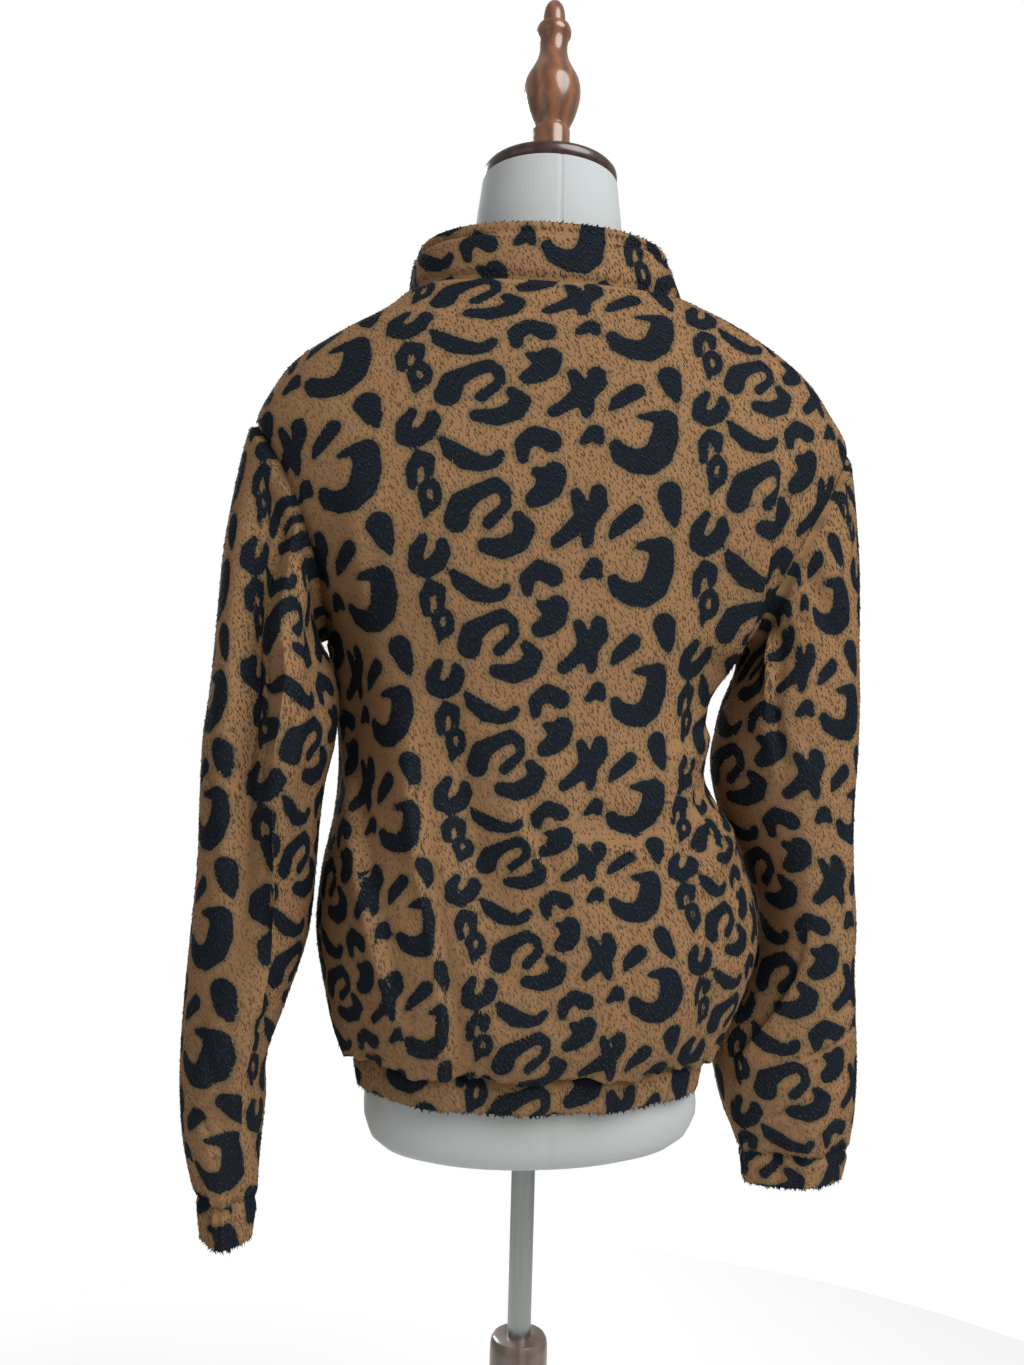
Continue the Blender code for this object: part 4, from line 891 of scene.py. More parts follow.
def print_distance(chart, cloth):
    """The chart read at places on the cloth, given right and down in metres."""
    lattice = np.array((PRINT_ACROSS, PRINT_DOWN)).T * PRINT_UNIT
    cell = cloth @ np.linalg.inv(lattice).T
    place = (cell - np.floor(cell)) * PRINT_CHART_STEPS
    low = np.floor(place).astype(int)
    part = place - low
    wide, high = PRINT_CHART_STEPS
    x0, y0 = low[..., 0] % wide, low[..., 1] % high
    x1, y1 = (x0 + 1) % wide, (y0 + 1) % high
    a, b = part[..., 0], part[..., 1]
    return (
        chart[x0, y0] * (1 - a) * (1 - b) + chart[x1, y0] * a * (1 - b)
        + chart[x0, y1] * (1 - a) * b + chart[x1, y1] * a * b
    )


def centred_across(grid):
    """How far each point is along its row to the right of the middle of the body."""
    across = lengths_across(grid)
    middle = [np.interp(0.0, -row[:, 0], arc) for row, arc in zip(grid, across)]
    return across - np.array(middle)[:, None]


def rows_down(z):
    """How far down the print some heights at the centre back are, in metres."""
    heights = np.array(HOOK_HEIGHTS)
    spacing = PRINT_DOWN[1] * PRINT_UNIT
    index = np.interp(-z, -heights, np.arange(len(heights)))
    beyond = np.clip(z - heights[0], 0.0, None) * YOKE_STRETCH - np.clip(heights[-1] - z, 0.0, None)
    return index * spacing - beyond


def back_places(grid):
    """The back's print, with the columns closer where folds take cloth up."""
    right = centred_across(grid)
    z = np.broadcast_to(grid[:, grid.shape[1] // 2, 2][:, None], right.shape)
    row = read_table(HOOK_ROWS, HOOK_COLUMNS, z)
    squeeze = PRINT_ACROSS[0] * PRINT_UNIT / row["apart"]
    from_hook = right - row["place"]
    columns_left = np.clip(-from_hook / row["apart"], 0.0, FAR_COLUMN)
    lower = row["drop"] + PRINT_ACROSS[1] * PRINT_UNIT
    right = from_hook * np.where(from_hook < 0.0, squeeze, np.maximum(squeeze, 1.0))
    down = rows_down(z) - lower * columns_left**3
    return np.stack((right - hidden_cloth(grid, 1), down), axis=-1)


def front_places(grid, levels_at_back, name):
    """A front's print, level with the back's and shifted as its cut was."""
    across = lengths_across(grid)
    to_zip = across[:, -1:] - across
    right = to_zip if name == "front_left" else -to_zip
    shift_right, shift_down = FRONT_PRINT[name]
    down = np.broadcast_to(levels_at_back[:, None], right.shape)
    hidden = hidden_cloth(grid, -1)
    return np.stack((right - shift_right + hidden, down + shift_down), axis=-1)


def hidden_cloth(grid, face):
    """The width of cloth that overlapping folds hide between a point and the middle."""
    x, z = grid[..., 0], grid[..., 2]
    total = np.zeros(x.shape)
    for values in BODY_STEPS:
        step = dict(zip(STEP_COLUMNS, values))
        if step["face"] != face:
            continue
        ends = (step["x0"], step["z0"], step["x1"], step["z1"])
        _, along = distance_to_line(x, z, ends)
        outward = math.copysign(1.0, step["x0"])
        beyond = np.clip(signed_side(x, z, ends) * outward / STEP_EDGE + 0.5, 0.0, 1.0)
        total += outward * step["hidden"] * np.minimum(1.0, along / HIDING_SHARE) * beyond
    return total


def sleeve_places(grid, side):
    """A sleeve's print, laid out both ways from the hook at its back."""
    rows, columns = grid.shape[:2]
    angle, height, lean = SLEEVE_PRINT[side]
    ring = np.linalg.norm(np.roll(grid, -1, axis=1) - grid, axis=2)
    arcs = np.concatenate((np.zeros((rows, 1)), ring.cumsum(axis=1)), axis=1)
    turns = np.arange(columns + 1) * 360.0 / columns
    at_hook = np.array([np.interp(angle, turns, arc) for arc in arcs])[:, None]
    right = arcs[:, :-1] - at_hook
    torn = round(SLEEVE_SEAM_ANGLE / 360.0 * columns)
    right[:, torn:] -= arcs[:, -1:]
    if side == "right":
        right = -right
    down = (height - grid[..., 2]) * SLEEVE_PRINT_STRETCH
    return np.stack((right - lean * down, down), axis=-1)


def strip_places(grid, down_at_edge, shift_right):
    """The print of a band cut across the cloth, from its own edge up."""
    up = np.linalg.norm(np.diff(grid, axis=0), axis=2).mean(axis=1).cumsum()
    down = down_at_edge - np.concatenate(([0.0], up))
    across = lengths_across(grid)
    right = across - across[:, -1:] / 2.0 - shift_right
    return np.stack((right, np.broadcast_to(down[:, None], right.shape)), axis=-1)


# Meshes of cloth


def ribbon_rows(piece):
    """Rows of points once round a wall: up its outside and back down its inside."""
    outer = piece["grid"] - piece["normals"] * GROUND_DEPTH
    inner = piece["grid"] - piece["normals"] * (piece["wall"] - GROUND_DEPTH * 0.5)
    rows = len(outer)
    inner_index = np.unique(np.append(np.arange(0, rows, piece["stride"]), rows - 1))
    around = {"first": [], "last": []}
    if piece["folded"]:
        at = 0 if piece["folded"] == "first" else rows - 1
        beyond = 1 if at == 0 else rows - 2
        middle = (outer[at] + inner[at]) / 2
        half = (outer[at] - inner[at]) / 2
        away = middle - (outer[beyond] + inner[beyond]) / 2
        away /= np.linalg.norm(away, axis=1, keepdims=True)
        reach = np.linalg.norm(half, axis=1, keepdims=True) * FOLD_ROUNDNESS
        for turn in np.linspace(0.0, math.pi, FOLD_ROUND_STEPS + 2)[1:-1]:
            around[piece["folded"]].append(
                middle + half * math.cos(turn) + away * reach * math.sin(turn))
    ring = list(outer) + around["last"] + [inner[i] for i in inner_index[::-1]]
    ring += around["first"][::-1]
    outside = list(range(rows))
    bend = len(around["last"])
    inside = list(range(rows + bend, rows + bend + len(inner_index)))[::-1]
    bent = sorted(set(range(len(ring))) - set(outside) - set(inside))
    return np.array(ring), outside, inside, bent, inner_index


def zip_faces(first, second):
    """Triangles across a strip between two runs of point numbers of any lengths."""
    faces, i, j = [], 0, 0
    while i < len(first) - 1 or j < len(second) - 1:
        ahead = (i + 1) / max(len(first) - 1, 1) <= (j + 1) / max(len(second) - 1, 1)
        if j == len(second) - 1 or (ahead and i < len(first) - 1):
            faces.append((first[i], first[i + 1], second[j]))
            i += 1
        else:
            faces.append((first[i], second[j + 1], second[j]))
            j += 1
    return faces


def cloth_mesh(piece, chart):
    """The sewn piece's closed wall, with its place on the flat cloth and its print."""
    ring, outside, inside, bend, inner_index = ribbon_rows(piece)
    rows, columns = ring.shape[:2]
    spans = columns if piece["closed"] else columns - 1
    r = np.arange(rows)[:, None]
    c = np.arange(spans)[None, :]
    nr, nc = (r + 1) % rows, (c + 1) % columns
    quads = np.stack(np.broadcast_arrays(
        r * columns + c, r * columns + nc, nr * columns + nc, nr * columns + c), axis=-1)
    quads = quads.reshape(-1, 4)
    faces = quads.tolist()
    if not piece["closed"]:
        for c_end in (0, columns - 1):
            first = [i * columns + c_end for i in outside]
            second = [i * columns + c_end for i in inside]
            caps = zip_faces(first, second)
            if bend:
                at_last = piece["folded"] == "last"
                edge = (outside[-1], inside[-1]) if at_last else (inside[0], outside[0])
                caps.append([i * columns + c_end for i in (edge[0], *bend, edge[1])])
            faces += [list(face) for face in caps]
    mesh = bpy.data.meshes.new(piece["name"] + "_cloth")
    mesh.from_pydata(ring.reshape(-1, 3), [], faces)
    places = np.zeros((rows, columns, 2))
    places[outside] = piece["places"]
    places[inside] = piece["places"][inner_index]
    if bend:
        places[bend] = piece["places"][-1 if piece["folded"] == "last" else 0]
    flat = places.reshape(-1, 2)
    attribute = mesh.attributes.new("print_distance", "FLOAT", "POINT")
    attribute.data.foreach_set("value", print_distance(chart, flat).astype(np.float32))
    corners = np.empty(len(mesh.loops), np.int32)
    mesh.loops.foreach_get("vertex_index", corners)
    layer = mesh.uv_layers.new(name="cloth")
    layer.data.foreach_set("uv", flat[corners].astype(np.float32).ravel())
    bm = bmesh.new()
    bm.from_mesh(mesh)
    bmesh.ops.recalc_face_normals(bm, faces=bm.faces)
    if bm.calc_volume(signed=True) < 0.0:
        bmesh.ops.reverse_faces(bm, faces=bm.faces)
    bm.to_mesh(mesh)
    bm.free()
    mesh.shade_smooth()
    mesh.set_sharp_from_angle(angle=math.radians(SHARP_EDGE))
    return mesh


def sewn_pieces():
    """All the cloth's grids, folded, creased, gathered and drawn in at the seams."""
    levels = body_levels()
    back = back_grid(BODY_ROWS, levels)
    front_left = front_grid(BODY_ROWS, levels, 1)
    front_right = front_grid(BODY_ROWS, levels, -1)
    left = sleeve_grid(LEFT_SLEEVE_ROWS, armhole_loop(back, front_left, 1), 1)
    right = sleeve_grid(RIGHT_SLEEVE_ROWS, armhole_loop(back, front_right, -1), -1)
    collar = strip_grid(COLLAR_ROWS, np.linspace(NECK_SEAM, COLLAR_TOP, COLLAR_STEPS + 1))
    hem = strip_grid(HEM_ROWS, np.linspace(HEM_BOTTOM, HEM_SEAM, HEM_STEPS + 1))
    cuffs = {
        side: cuff_grid(grid, CUFF_DEPTHS[side])
        for side, grid in (("left", left), ("right", right))
    }
    names = ("name", "grid", "closed", "turn", "wall", "folded", "sewn", "stride", "places")
    back_print = back_places(back)
    left_print = front_places(front_left, back_print[:, 0, 1], "front_left")
    right_print = front_places(front_right, back_print[:, 0, 1], "front_right")
    collar_print = strip_places(collar, *COLLAR_PRINT)
    hem_print = strip_places(hem, *HEM_PRINT)
    left_arm_print = sleeve_places(left, "left")
    right_arm_print = sleeve_places(right, "right")
    cuff_print = {side: sleeve_places(cuffs[side], side) + CUFF_PRINT_SHIFT for side in cuffs}
    body_seams = ("start", "end", "left", "right")
    arm_seams = ("start", "end")
    left_cuff, left_cuff_print = cuffs["left"], cuff_print["left"]
    right_cuff, right_cuff_print = cuffs["right"], cuff_print["right"]
    table = (
        ("back_panel", back, False, 1, FLEECE, None, body_seams, INNER_STRIDE, back_print),
        ("front_left", front_left, False, -1, FLEECE, None, body_seams, INNER_STRIDE, left_print),
        ("front_right", front_right, False, 1, FLEECE, None, body_seams, INNER_STRIDE, right_print),
        ("collar", collar, False, 1, FOLDED_FLEECE, "last", ("start",), 1, collar_print),
        ("hem_band", hem, False, 1, ELASTIC_BAND, "first", ("end",), 1, hem_print),
        ("sleeve_left", left, True, -1, FLEECE, None, arm_seams, INNER_STRIDE, left_arm_print),
        ("sleeve_right", right, True, 1, FLEECE, None, arm_seams, INNER_STRIDE, right_arm_print),
        ("cuff_left", left_cuff, True, -1, ELASTIC_BAND, "last", ("start",), 1, left_cuff_print),
        ("cuff_right", right_cuff, True, 1, ELASTIC_BAND, "last", ("start",), 1, right_cuff_print),
    )
    pieces = [dict(zip(names, row)) for row in table]
    share_normals(pieces)
    heights = {
        "sleeve_left": sleeve_heights(
            left, LEFT_SLEEVE_FOLDS + LEFT_SLEEVE_CREASES, LEFT_SLEEVE_OVERLAPS, LEFT_SLEEVE_ROWS),
        "sleeve_right": sleeve_heights(
            right, RIGHT_SLEEVE_FOLDS + RIGHT_SLEEVE_CREASES, RIGHT_SLEEVE_OVERLAPS,
            RIGHT_SLEEVE_ROWS),
    }
    fade = np.linspace(*CUFF_FADE, CUFF_STEPS + 1)[:, None]
    for side in ("left", "right"):
        heights["cuff_" + side] = heights["sleeve_" + side][-1][None, :] * fade
    for piece in pieces:
        height = heights.get(piece["name"])
        if height is None:
            height = body_heights(piece["grid"])
        height = height + seam_dips(piece)
        piece["grid"] = piece["grid"] + piece["normals"] * height[..., None]
    share_normals(pieces)
    return pieces


# Pile


def scatter(grid, normals, places, closed, density, dice):
    """Even random places over a grid: position, normal and place on the cloth."""
    if closed:
        grid, normals, places = (
            np.concatenate((a, a[:, :1]), axis=1) for a in (grid, normals, places))
    a, b = grid[:-1, :-1], grid[:-1, 1:]
    c, d = grid[1:, :-1], grid[1:, 1:]
    area = np.linalg.norm(np.cross(d - a, c - b), axis=2) / 2
    total = area.cumsum()
    count = int(total[-1] * density)
    wanted = (np.arange(count) + dice.random(count)) / count * total[-1]
    cell = np.minimum(np.searchsorted(total, wanted), area.size - 1)
    row, column = np.divmod(cell, area.shape[1])
    s, t = dice.random(count)[:, None], dice.random(count)[:, None]

    def mixed(values):
        top = values[row, column] * (1 - s) + values[row, column + 1] * s
        low = values[row + 1, column] * (1 - s) + values[row + 1, column + 1] * s
        return top * (1 - t) + low * t

    place = mixed(places)
    torn = np.abs(places[row, column, 0] - places[row, column + 1, 0]) > SEAM_JUMP
    place[torn] = places[row[torn], column[torn]]
    directions = mixed(normals)
    directions /= np.linalg.norm(directions, axis=1, keepdims=True)
    return mixed(grid), directions, place


def lock_mesh(name, roots, normals, along, sizes):
    """Small closed locks: a sunk root, two shoulders and a raised tip."""
    side = np.cross(normals, along)
    length, width, lift = sizes
    shoulder = roots + along * (length * SHOULDER_PLACE)[:, None]
    shoulder = shoulder + normals * (lift * SHOULDER_LIFT)[:, None]
    sunk = normals * (LOCK_SINK * SHOULDER_SINK)
    points = np.stack((
        roots + normals * (lift * ROOT_LIFT - LOCK_SINK)[:, None],
        shoulder - side * (width / 2)[:, None] - sunk,
        shoulder + side * (width / 2)[:, None] - sunk,
        roots + along * length[:, None] + normals * lift[:, None],
    ), axis=1)
    count = len(roots)
    start = np.arange(count)[:, None, None] * 4
    faces = (start + np.array(((0, 1, 3), (0, 3, 2), (1, 2, 3), (0, 2, 1)))[None]).reshape(-1, 3)
    mesh = bpy.data.meshes.new(name)
    mesh.vertices.add(count * 4)
    mesh.vertices.foreach_set("co", points.astype(np.float32).ravel())
    mesh.loops.add(len(faces) * 3)
    mesh.loops.foreach_set("vertex_index", faces.astype(np.int32).ravel())
    mesh.polygons.add(len(faces))
    mesh.polygons.foreach_set("loop_start", np.arange(len(faces), dtype=np.int32) * 3)
    mesh.update(calc_edges=True)
    mesh.validate()
    return mesh


def pile_patch(piece):
    """The rows that carry pile: the outside and, where there is one, the folded edge."""
    ring, outside, _, bend, _ = ribbon_rows(piece)
    order = bend + outside if piece["folded"] == "first" else outside + bend
    rows = ring[order]
    normals = grid_normals(rows, piece["closed"], piece["turn"])
    own = slice(len(bend), None) if piece["folded"] == "first" else slice(0, len(outside))
    normals[own] = piece["normals"]
    edge = piece["places"][0 if piece["folded"] == "first" else -1]
    extra = np.broadcast_to(edge, (len(bend),) + edge.shape)
    both = (extra, piece["places"]) if piece["folded"] == "first" else (piece["places"], extra)
    return rows, normals, np.concatenate(both)


def nap_directions(roots, normals, lean):
    """Down the cloth and a little to the right of someone who looks at it."""
    hanging = np.zeros_like(roots)
    hanging[:, 2] = -1.0
    hanging[:, 1] = NAP_OUTWARD * np.sign(roots[:, 1])
    down = hanging - normals * np.sum(hanging * normals, axis=1, keepdims=True)
    down /= np.maximum(np.linalg.norm(down, axis=1, keepdims=True), 1e-6)
    along = down + np.cross(normals, down) * lean[:, None]
    return along / np.linalg.norm(along, axis=1, keepdims=True)


def pile_of(piece, chart, look, dice):
    """The locks over a piece's outside, in the colours of the print at their middles."""
    grid, grid_up, grid_places = pile_patch(piece)
    roots, normals, place = scatter(
        grid, grid_up, grid_places, piece["closed"], LOCKS_PER_M2, dice)
    lean = NAP_LEAN + NAP_SPREAD * dice.standard_normal(len(roots))
    along = nap_directions(roots, normals, lean)
    length = look.lock_length * dice.uniform(*LENGTH_RANGE, len(roots))
    width = look.lock_width * dice.uniform(*WIDTH_RANGE, len(roots))
    lift = look.lock_lift * dice.uniform(*LIFT_RANGE, len(roots))
    lift = np.where(dice.random(len(roots)) < STRAY_SHARE, lift * STRAY_LIFT, lift)
    half_down = length / (2.0 * np.hypot(lean, 1.0))
    to_middle = np.stack((lean, np.ones_like(lean)), axis=1) * half_down[:, None]
    distance = print_distance(chart, place + to_middle)
    dark = distance + EDGE_SCATTER * dice.standard_normal(len(roots)) < 0.0
    tone = np.array([noise.noise(Vector(p) * TONE_SCALE) for p in roots])
    tone = tone + dice.standard_normal(len(roots)) * TONE_SCATTER
    halo = (distance < HALO_WIDTH) & ~dark
    made = []
    for label, chosen in (("ground", ~dark), ("spots", dark)):
        mesh = lock_mesh(
            f"pile_{label}_{piece['name']}", roots[chosen], normals[chosen], along[chosen],
            (length[chosen], width[chosen], lift[chosen]))
        # The highest tones take the light slot, which on the tan locks is partly a painted
        # highlight
        slots = np.digitize(tone[chosen], TONE_LIMITS)
        if label == "ground":
            olive = halo[chosen] & (dice.random(chosen.sum()) < HALO_SHARE)
            slots = np.where(olive, OLIVE_TONE, slots)
        mesh.polygons.foreach_set("material_index", np.repeat(slots, 4).astype(np.int32))
        made.append((label, mesh))
    return made


# Materials


def new_material(name, roughness, metallic=0.0):
    material = bpy.data.materials.new(name)
    material.use_nodes = True
    shader = material.node_tree.nodes["Principled BSDF"]
    shader.inputs["Roughness"].default_value = roughness
    shader.inputs["Metallic"].default_value = metallic
    return material, material.node_tree, shader


def add_node(tree, kind, **values):
    node = tree.nodes.new(kind)
    for name, value in values.items():
        setattr(node, name, value)
    return node


def set_inputs(node, **values):
    for name, value in values.items():
        node.inputs[name.replace("_", " ")].default_value = value


def maths(tree, operation, first, second=None, third=None):
    node = add_node(tree, "ShaderNodeMath", operation=operation)
    for index, value in enumerate((first, second, third)):
        if value is None:
            continue
        if isinstance(value, (int, float)):
            node.inputs[index].default_value = value
        else:
            tree.links.new(value, node.inputs[index])
    return node.outputs[0]


def mix_colours(tree, factor, first, second):
    node = add_node(tree, "ShaderNodeMix", data_type="RGBA")
    for index, value in ((0, factor), (6, first), (7, second)):
        socket = node.inputs[index]
        if isinstance(value, (tuple, list)):
            socket.default_value = (*value[:3], 1.0)
        elif isinstance(value, (int, float)):
            socket.default_value = value
        else:
            tree.links.new(value, socket)
    return node.outputs[2]


def object_place(tree):
    return add_node(tree, "ShaderNodeTexCoord").outputs["Object"]


def map_range(tree, value, **limits):
    node = add_node(tree, "ShaderNodeMapRange")
    set_inputs(node, **limits)
    tree.links.new(value, node.inputs["Value"])
    return node.outputs[0]


def bands(tree, vector, direction, **values):
    node = add_node(tree, "ShaderNodeTexWave", wave_type="BANDS", bands_direction=direction)
    set_inputs(node, **values)
    tree.links.new(vector, node.inputs["Vector"])
    return node.outputs["Fac"]


def cloudy(tree, vector, **values):
    node = add_node(tree, "ShaderNodeTexNoise")
    set_inputs(node, **values)
    tree.links.new(vector, node.inputs["Vector"])
    return node.outputs["Fac"]


def streaks(tree, vector, size, turned=0.0, detail=3.0):
    """Noise of a given size along each axis, the whole turned by some degrees."""
    mapping = add_node(tree, "ShaderNodeMapping", vector_type="TEXTURE")
    mapping.inputs["Scale"].default_value = size
    mapping.inputs["Rotation"].default_value = (0.0, 0.0, math.radians(turned))
    tree.links.new(vector, mapping.inputs["Vector"])
    return cloudy(tree, mapping.outputs[0], Scale=1.0, Detail=detail, Roughness=0.6)


def bump(tree, shader, height, strength, distance):
    node = add_node(tree, "ShaderNodeBump")
    node.inputs["Strength"].default_value = strength
    node.inputs["Distance"].default_value = distance
    tree.links.new(height, node.inputs["Height"])
    tree.links.new(node.outputs[0], shader.inputs["Normal"])


def shade_of(colour, factor):
    return tuple(min(1.0, c * factor) for c in colour)


def tinted(colour, factors):
    return tuple(min(1.0, c * factor) for c, factor in zip(colour, factors))


def fleece_ground(look):
    """Knitted ground under the pile: print by distance, streaky nap and little gloss. Its tan holds
    painted shade: it is a little darker than the locks over it, and its streaks are darker where
    their bump is low.
    """
    material, tree, shader = new_material("fleece_ground", 0.95)
    cloth = add_node(tree, "ShaderNodeUVMap", uv_map="cloth").outputs[0]
    strokes = streaks(tree, cloth, (0.0016, 0.0050, 1.0), NAP_TURN)
    patches = streaks(tree, cloth, (0.026, 0.038, 1.0), detail=2.0)
    spots = add_node(tree, "ShaderNodeAttribute", attribute_name="print_distance")
    uneven = maths(tree, "SUBTRACT", strokes, 0.5)
    ragged = maths(tree, "MULTIPLY_ADD", uneven, RAGGED_EDGE, spots.outputs["Fac"])
    inside = map_range(tree, ragged, From_Min=-PRINT_EDGE, From_Max=PRINT_EDGE)
    halo = map_range(tree, ragged, From_Min=HALO_FROM, From_Max=HALO_TO)
    # The streaks' dark end lies where their bump is low and their light end where it is high:
    # random tone, with painted shade in the nap's grooves and painted light on its ridges
    deep, light = shade_of(look.tan, 0.86), shade_of(look.tan, 1.15)
    tan = mix_colours(tree, strokes, deep, light)
    # The large patches only ever darken the tan: random tone that also keeps the ground darker than
    # its locks, as painted shade between and under them
    tan = mix_colours(tree, patches, tan, shade_of(look.tan, 0.8))
    olive = tinted(look.tan, OLIVE_GROUND)
    tan = mix_colours(tree, halo, olive, tan)
    # The spots' streaks are also darker where the bump is low: painted shade in the grooves,
    # besides random tone
    spot = mix_colours(tree, strokes, shade_of(look.spot, 0.6), shade_of(look.spot, 1.6))
    tree.links.new(mix_colours(tree, inside, spot, tan), shader.inputs["Base Color"])
    shader.inputs["Specular IOR Level"].default_value = 0.12
    bump(tree, shader, strokes, 0.25, 0.0006)
    return material


def pile_material(name, colour):
    """One tone of the locks; many tones together give the nap its depth, and the light tan tone is
    partly a painted highlight.
    """
    material, _, shader = new_material(name, 0.9)
    shader.inputs["Base Color"].default_value = (*colour, 1.0)
    shader.inputs["Specular IOR Level"].default_value = 0.15
    shader.inputs["Sheen Weight"].default_value = 0.06
    shader.inputs["Sheen Roughness"].default_value = 0.5
    return material


def pile_materials(look):
    tan, spot = look.tan, look.spot
    return {
        "ground": [
            pile_material("pile_tan_deep", shade_of(tan, 0.80)),
            pile_material("pile_tan", shade_of(tan, 0.98)),
            # Light tan locks: random tone, and also a painted highlight on the locks that take it
            pile_material("pile_tan_light", tinted(tan, LIGHT_PILE_AND_HIGHLIGHT)),
            pile_material("pile_olive", tinted(tan, OLIVE_PILE)),
        ],
        "spots": [
            pile_material("pile_spot_deep", shade_of(spot, 0.6)),
            pile_material("pile_spot", tuple(spot)),
            pile_material("pile_spot_light", shade_of(spot, 1.7)),
        ],
    }


def cotton_cover(look):
    """Plain woven cotton, a little soiled, with its fine weave raised."""
    material, tree, shader = new_material("cotton_cover", 0.85)
    place = object_place(tree)
    yarn = {"Scale": 330.0, "Distortion": 1.2, "Detail": 1.0, "Detail_Scale": 6.0}
    weave = maths(tree, "ADD", bands(tree, place, "Z", **yarn), bands(tree, place, "X", **yarn))
    soil = cloudy(tree, place, Scale=9.0, Detail=5.0, Roughness=0.55)
    warm = tinted(look.cotton, SOILED_COTTON)
    soft = map_range(tree, soil, From_Min=0.42, From_Max=0.72)
    colour = mix_colours(tree, soft, tuple(look.cotton), warm)
    between = maths(tree, "MULTIPLY", weave, 0.10)
    shade = mix_colours(tree, between, colour, shade_of(look.cotton, 0.7))
    tree.links.new(shade, shader.inputs["Base Color"])
    bump(tree, shader, weave, 0.25, 0.0003)
    return material


def turned_wood(name, colour, grain, gloss, fibre):
    """Wood with long grain along the height and a varnish coat."""
    material, tree, shader = new_material(name, gloss)
    place = object_place(tree)
    fibres = streaks(tree, place, (fibre, fibre, fibre * 14.0), detail=6.0)
    rings = bands(tree, place, "X", Scale=28.0, Distortion=5.5, Detail=3.0, Detail_Scale=1.6)
    faint = maths(tree, "MULTIPLY", fibres, 0.75)
    both = maths(tree, "MULTIPLY_ADD", rings, 0.45, faint)
    ramp = map_range(tree, both, From_Min=0.3, From_Max=0.95)
    mixed = mix_colours(tree, ramp, tuple(colour), shade_of(colour, grain))
    tree.links.new(mixed, shader.inputs["Base Color"])
    shader.inputs["Coat Weight"].default_value = 0.6
    shader.inputs["Coat Roughness"].default_value = 0.12
    worn = map_range(tree, fibres, To_Min=gloss * 0.8, To_Max=gloss * 1.5)
    tree.links.new(worn, shader.inputs["Roughness"])
    bump(tree, shader, fibres, 0.12, 0.0006)
    return material


def brushed_metal(name, colour, roughness, size):
    material, tree, shader = new_material(name, roughness, metallic=1.0)
    place = object_place(tree)
    lines = streaks(tree, place, size, detail=4.0)
    mixed = mix_colours(tree, lines, shade_of(colour, 0.72), shade_of(colour, 1.12))
    tree.links.new(mixed, shader.inputs["Base Color"])
    rough = map_range(tree, lines, To_Min=roughness * 0.75, To_Max=roughness * 1.4)
    tree.links.new(rough, shader.inputs["Roughness"])
    bump(tree, shader, lines, 0.15, 0.0002)
    return material


def woven_tape():
    """The zip's tape: a twill of fine dark yarn."""
    material, tree, shader = new_material("woven_tape", 0.85)
    place = object_place(tree)
    turned = add_node(tree, "ShaderNodeMapping")
    turned.inputs["Rotation"].default_value = (0.0, math.radians(35), 0.0)
    tree.links.new(place, turned.inputs["Vector"])
    twill = bands(tree, turned.outputs[0], "Z", Scale=420.0, Distortion=0.4)
    mixed = mix_colours(tree, twill, (0.008, 0.008, 0.010), (0.035, 0.034, 0.036))
    tree.links.new(mixed, shader.inputs["Base Color"])
    bump(tree, shader, twill, 0.5, 0.0003)
    return material


def studio_paper(look):
    material, tree, shader = new_material("studio_paper", 0.9)
    place = object_place(tree)
    tooth = cloudy(tree, place, Scale=60.0, Detail=4.0)
    faint = maths(tree, "MULTIPLY", tooth, 0.1)
    mixed = mix_colours(tree, faint, tuple(look.floor), shade_of(look.floor, 0.9))
    tree.links.new(mixed, shader.inputs["Base Color"])
    return material


# Objects


def finish_piece(piece, materials, nodes=()):
    piece.data.materials.clear()
    for material in materials:
        piece.data.materials.append(material)
    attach(piece, ROOT_BODY)
    if nodes:
        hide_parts(*nodes)


def add_object(name, mesh, materials, nodes=()):
    piece = bpy.data.objects.new(name, mesh)
    bpy.context.scene.collection.objects.link(piece)
    finish_piece(piece, materials, nodes)
    return piece


def deselect_all():
    if bpy.context.object and bpy.context.object.mode != "OBJECT":
        bpy.ops.object.mode_set(mode="OBJECT")
    bpy.ops.object.select_all(action="DESELECT")


def settle(piece):
    """Puts a modelled piece's place into its mesh and smooths what is round."""
    bpy.ops.object.mode_set(mode="OBJECT")
    bpy.ops.object.transform_apply(location=True, rotation=True, scale=True)
    bm = bmesh.new()
    bm.from_mesh(piece.data)
    bmesh.ops.remove_doubles(bm, verts=bm.verts, dist=MERGE_DISTANCE)
    bmesh.ops.recalc_face_normals(bm, faces=bm.faces)
    bm.to_mesh(piece.data)
    bm.free()
    bpy.ops.object.shade_smooth_by_angle(angle=math.radians(EASED_EDGE))


def turn_on_lathe(name, profile):
    """A turned solid: a filled circle drawn up through each radius of its profile."""
    deselect_all()
    radius, z = profile[-1]
    bpy.ops.mesh.primitive_circle_add(
        vertices=TURNED_SEGMENTS, radius=radius, fill_type="NGON", location=(0.0, 0.0, z))
    piece = bpy.context.object
    piece.name = name
    bpy.ops.object.mode_set(mode="EDIT")
    bpy.ops.mesh.select_all(action="SELECT")
    for next_radius, next_z in profile[-2::-1]:
        step = (0.0, 0.0, next_z - z)
        bpy.ops.mesh.extrude_region_move(TRANSFORM_OT_translate={"value": step})
        factor = next_radius / radius
        bpy.ops.transform.resize(
            value=(factor, factor, 1.0), center_override=(0.0, 0.0, next_z))
        radius, z = next_radius, next_z
    settle(piece)
    return piece


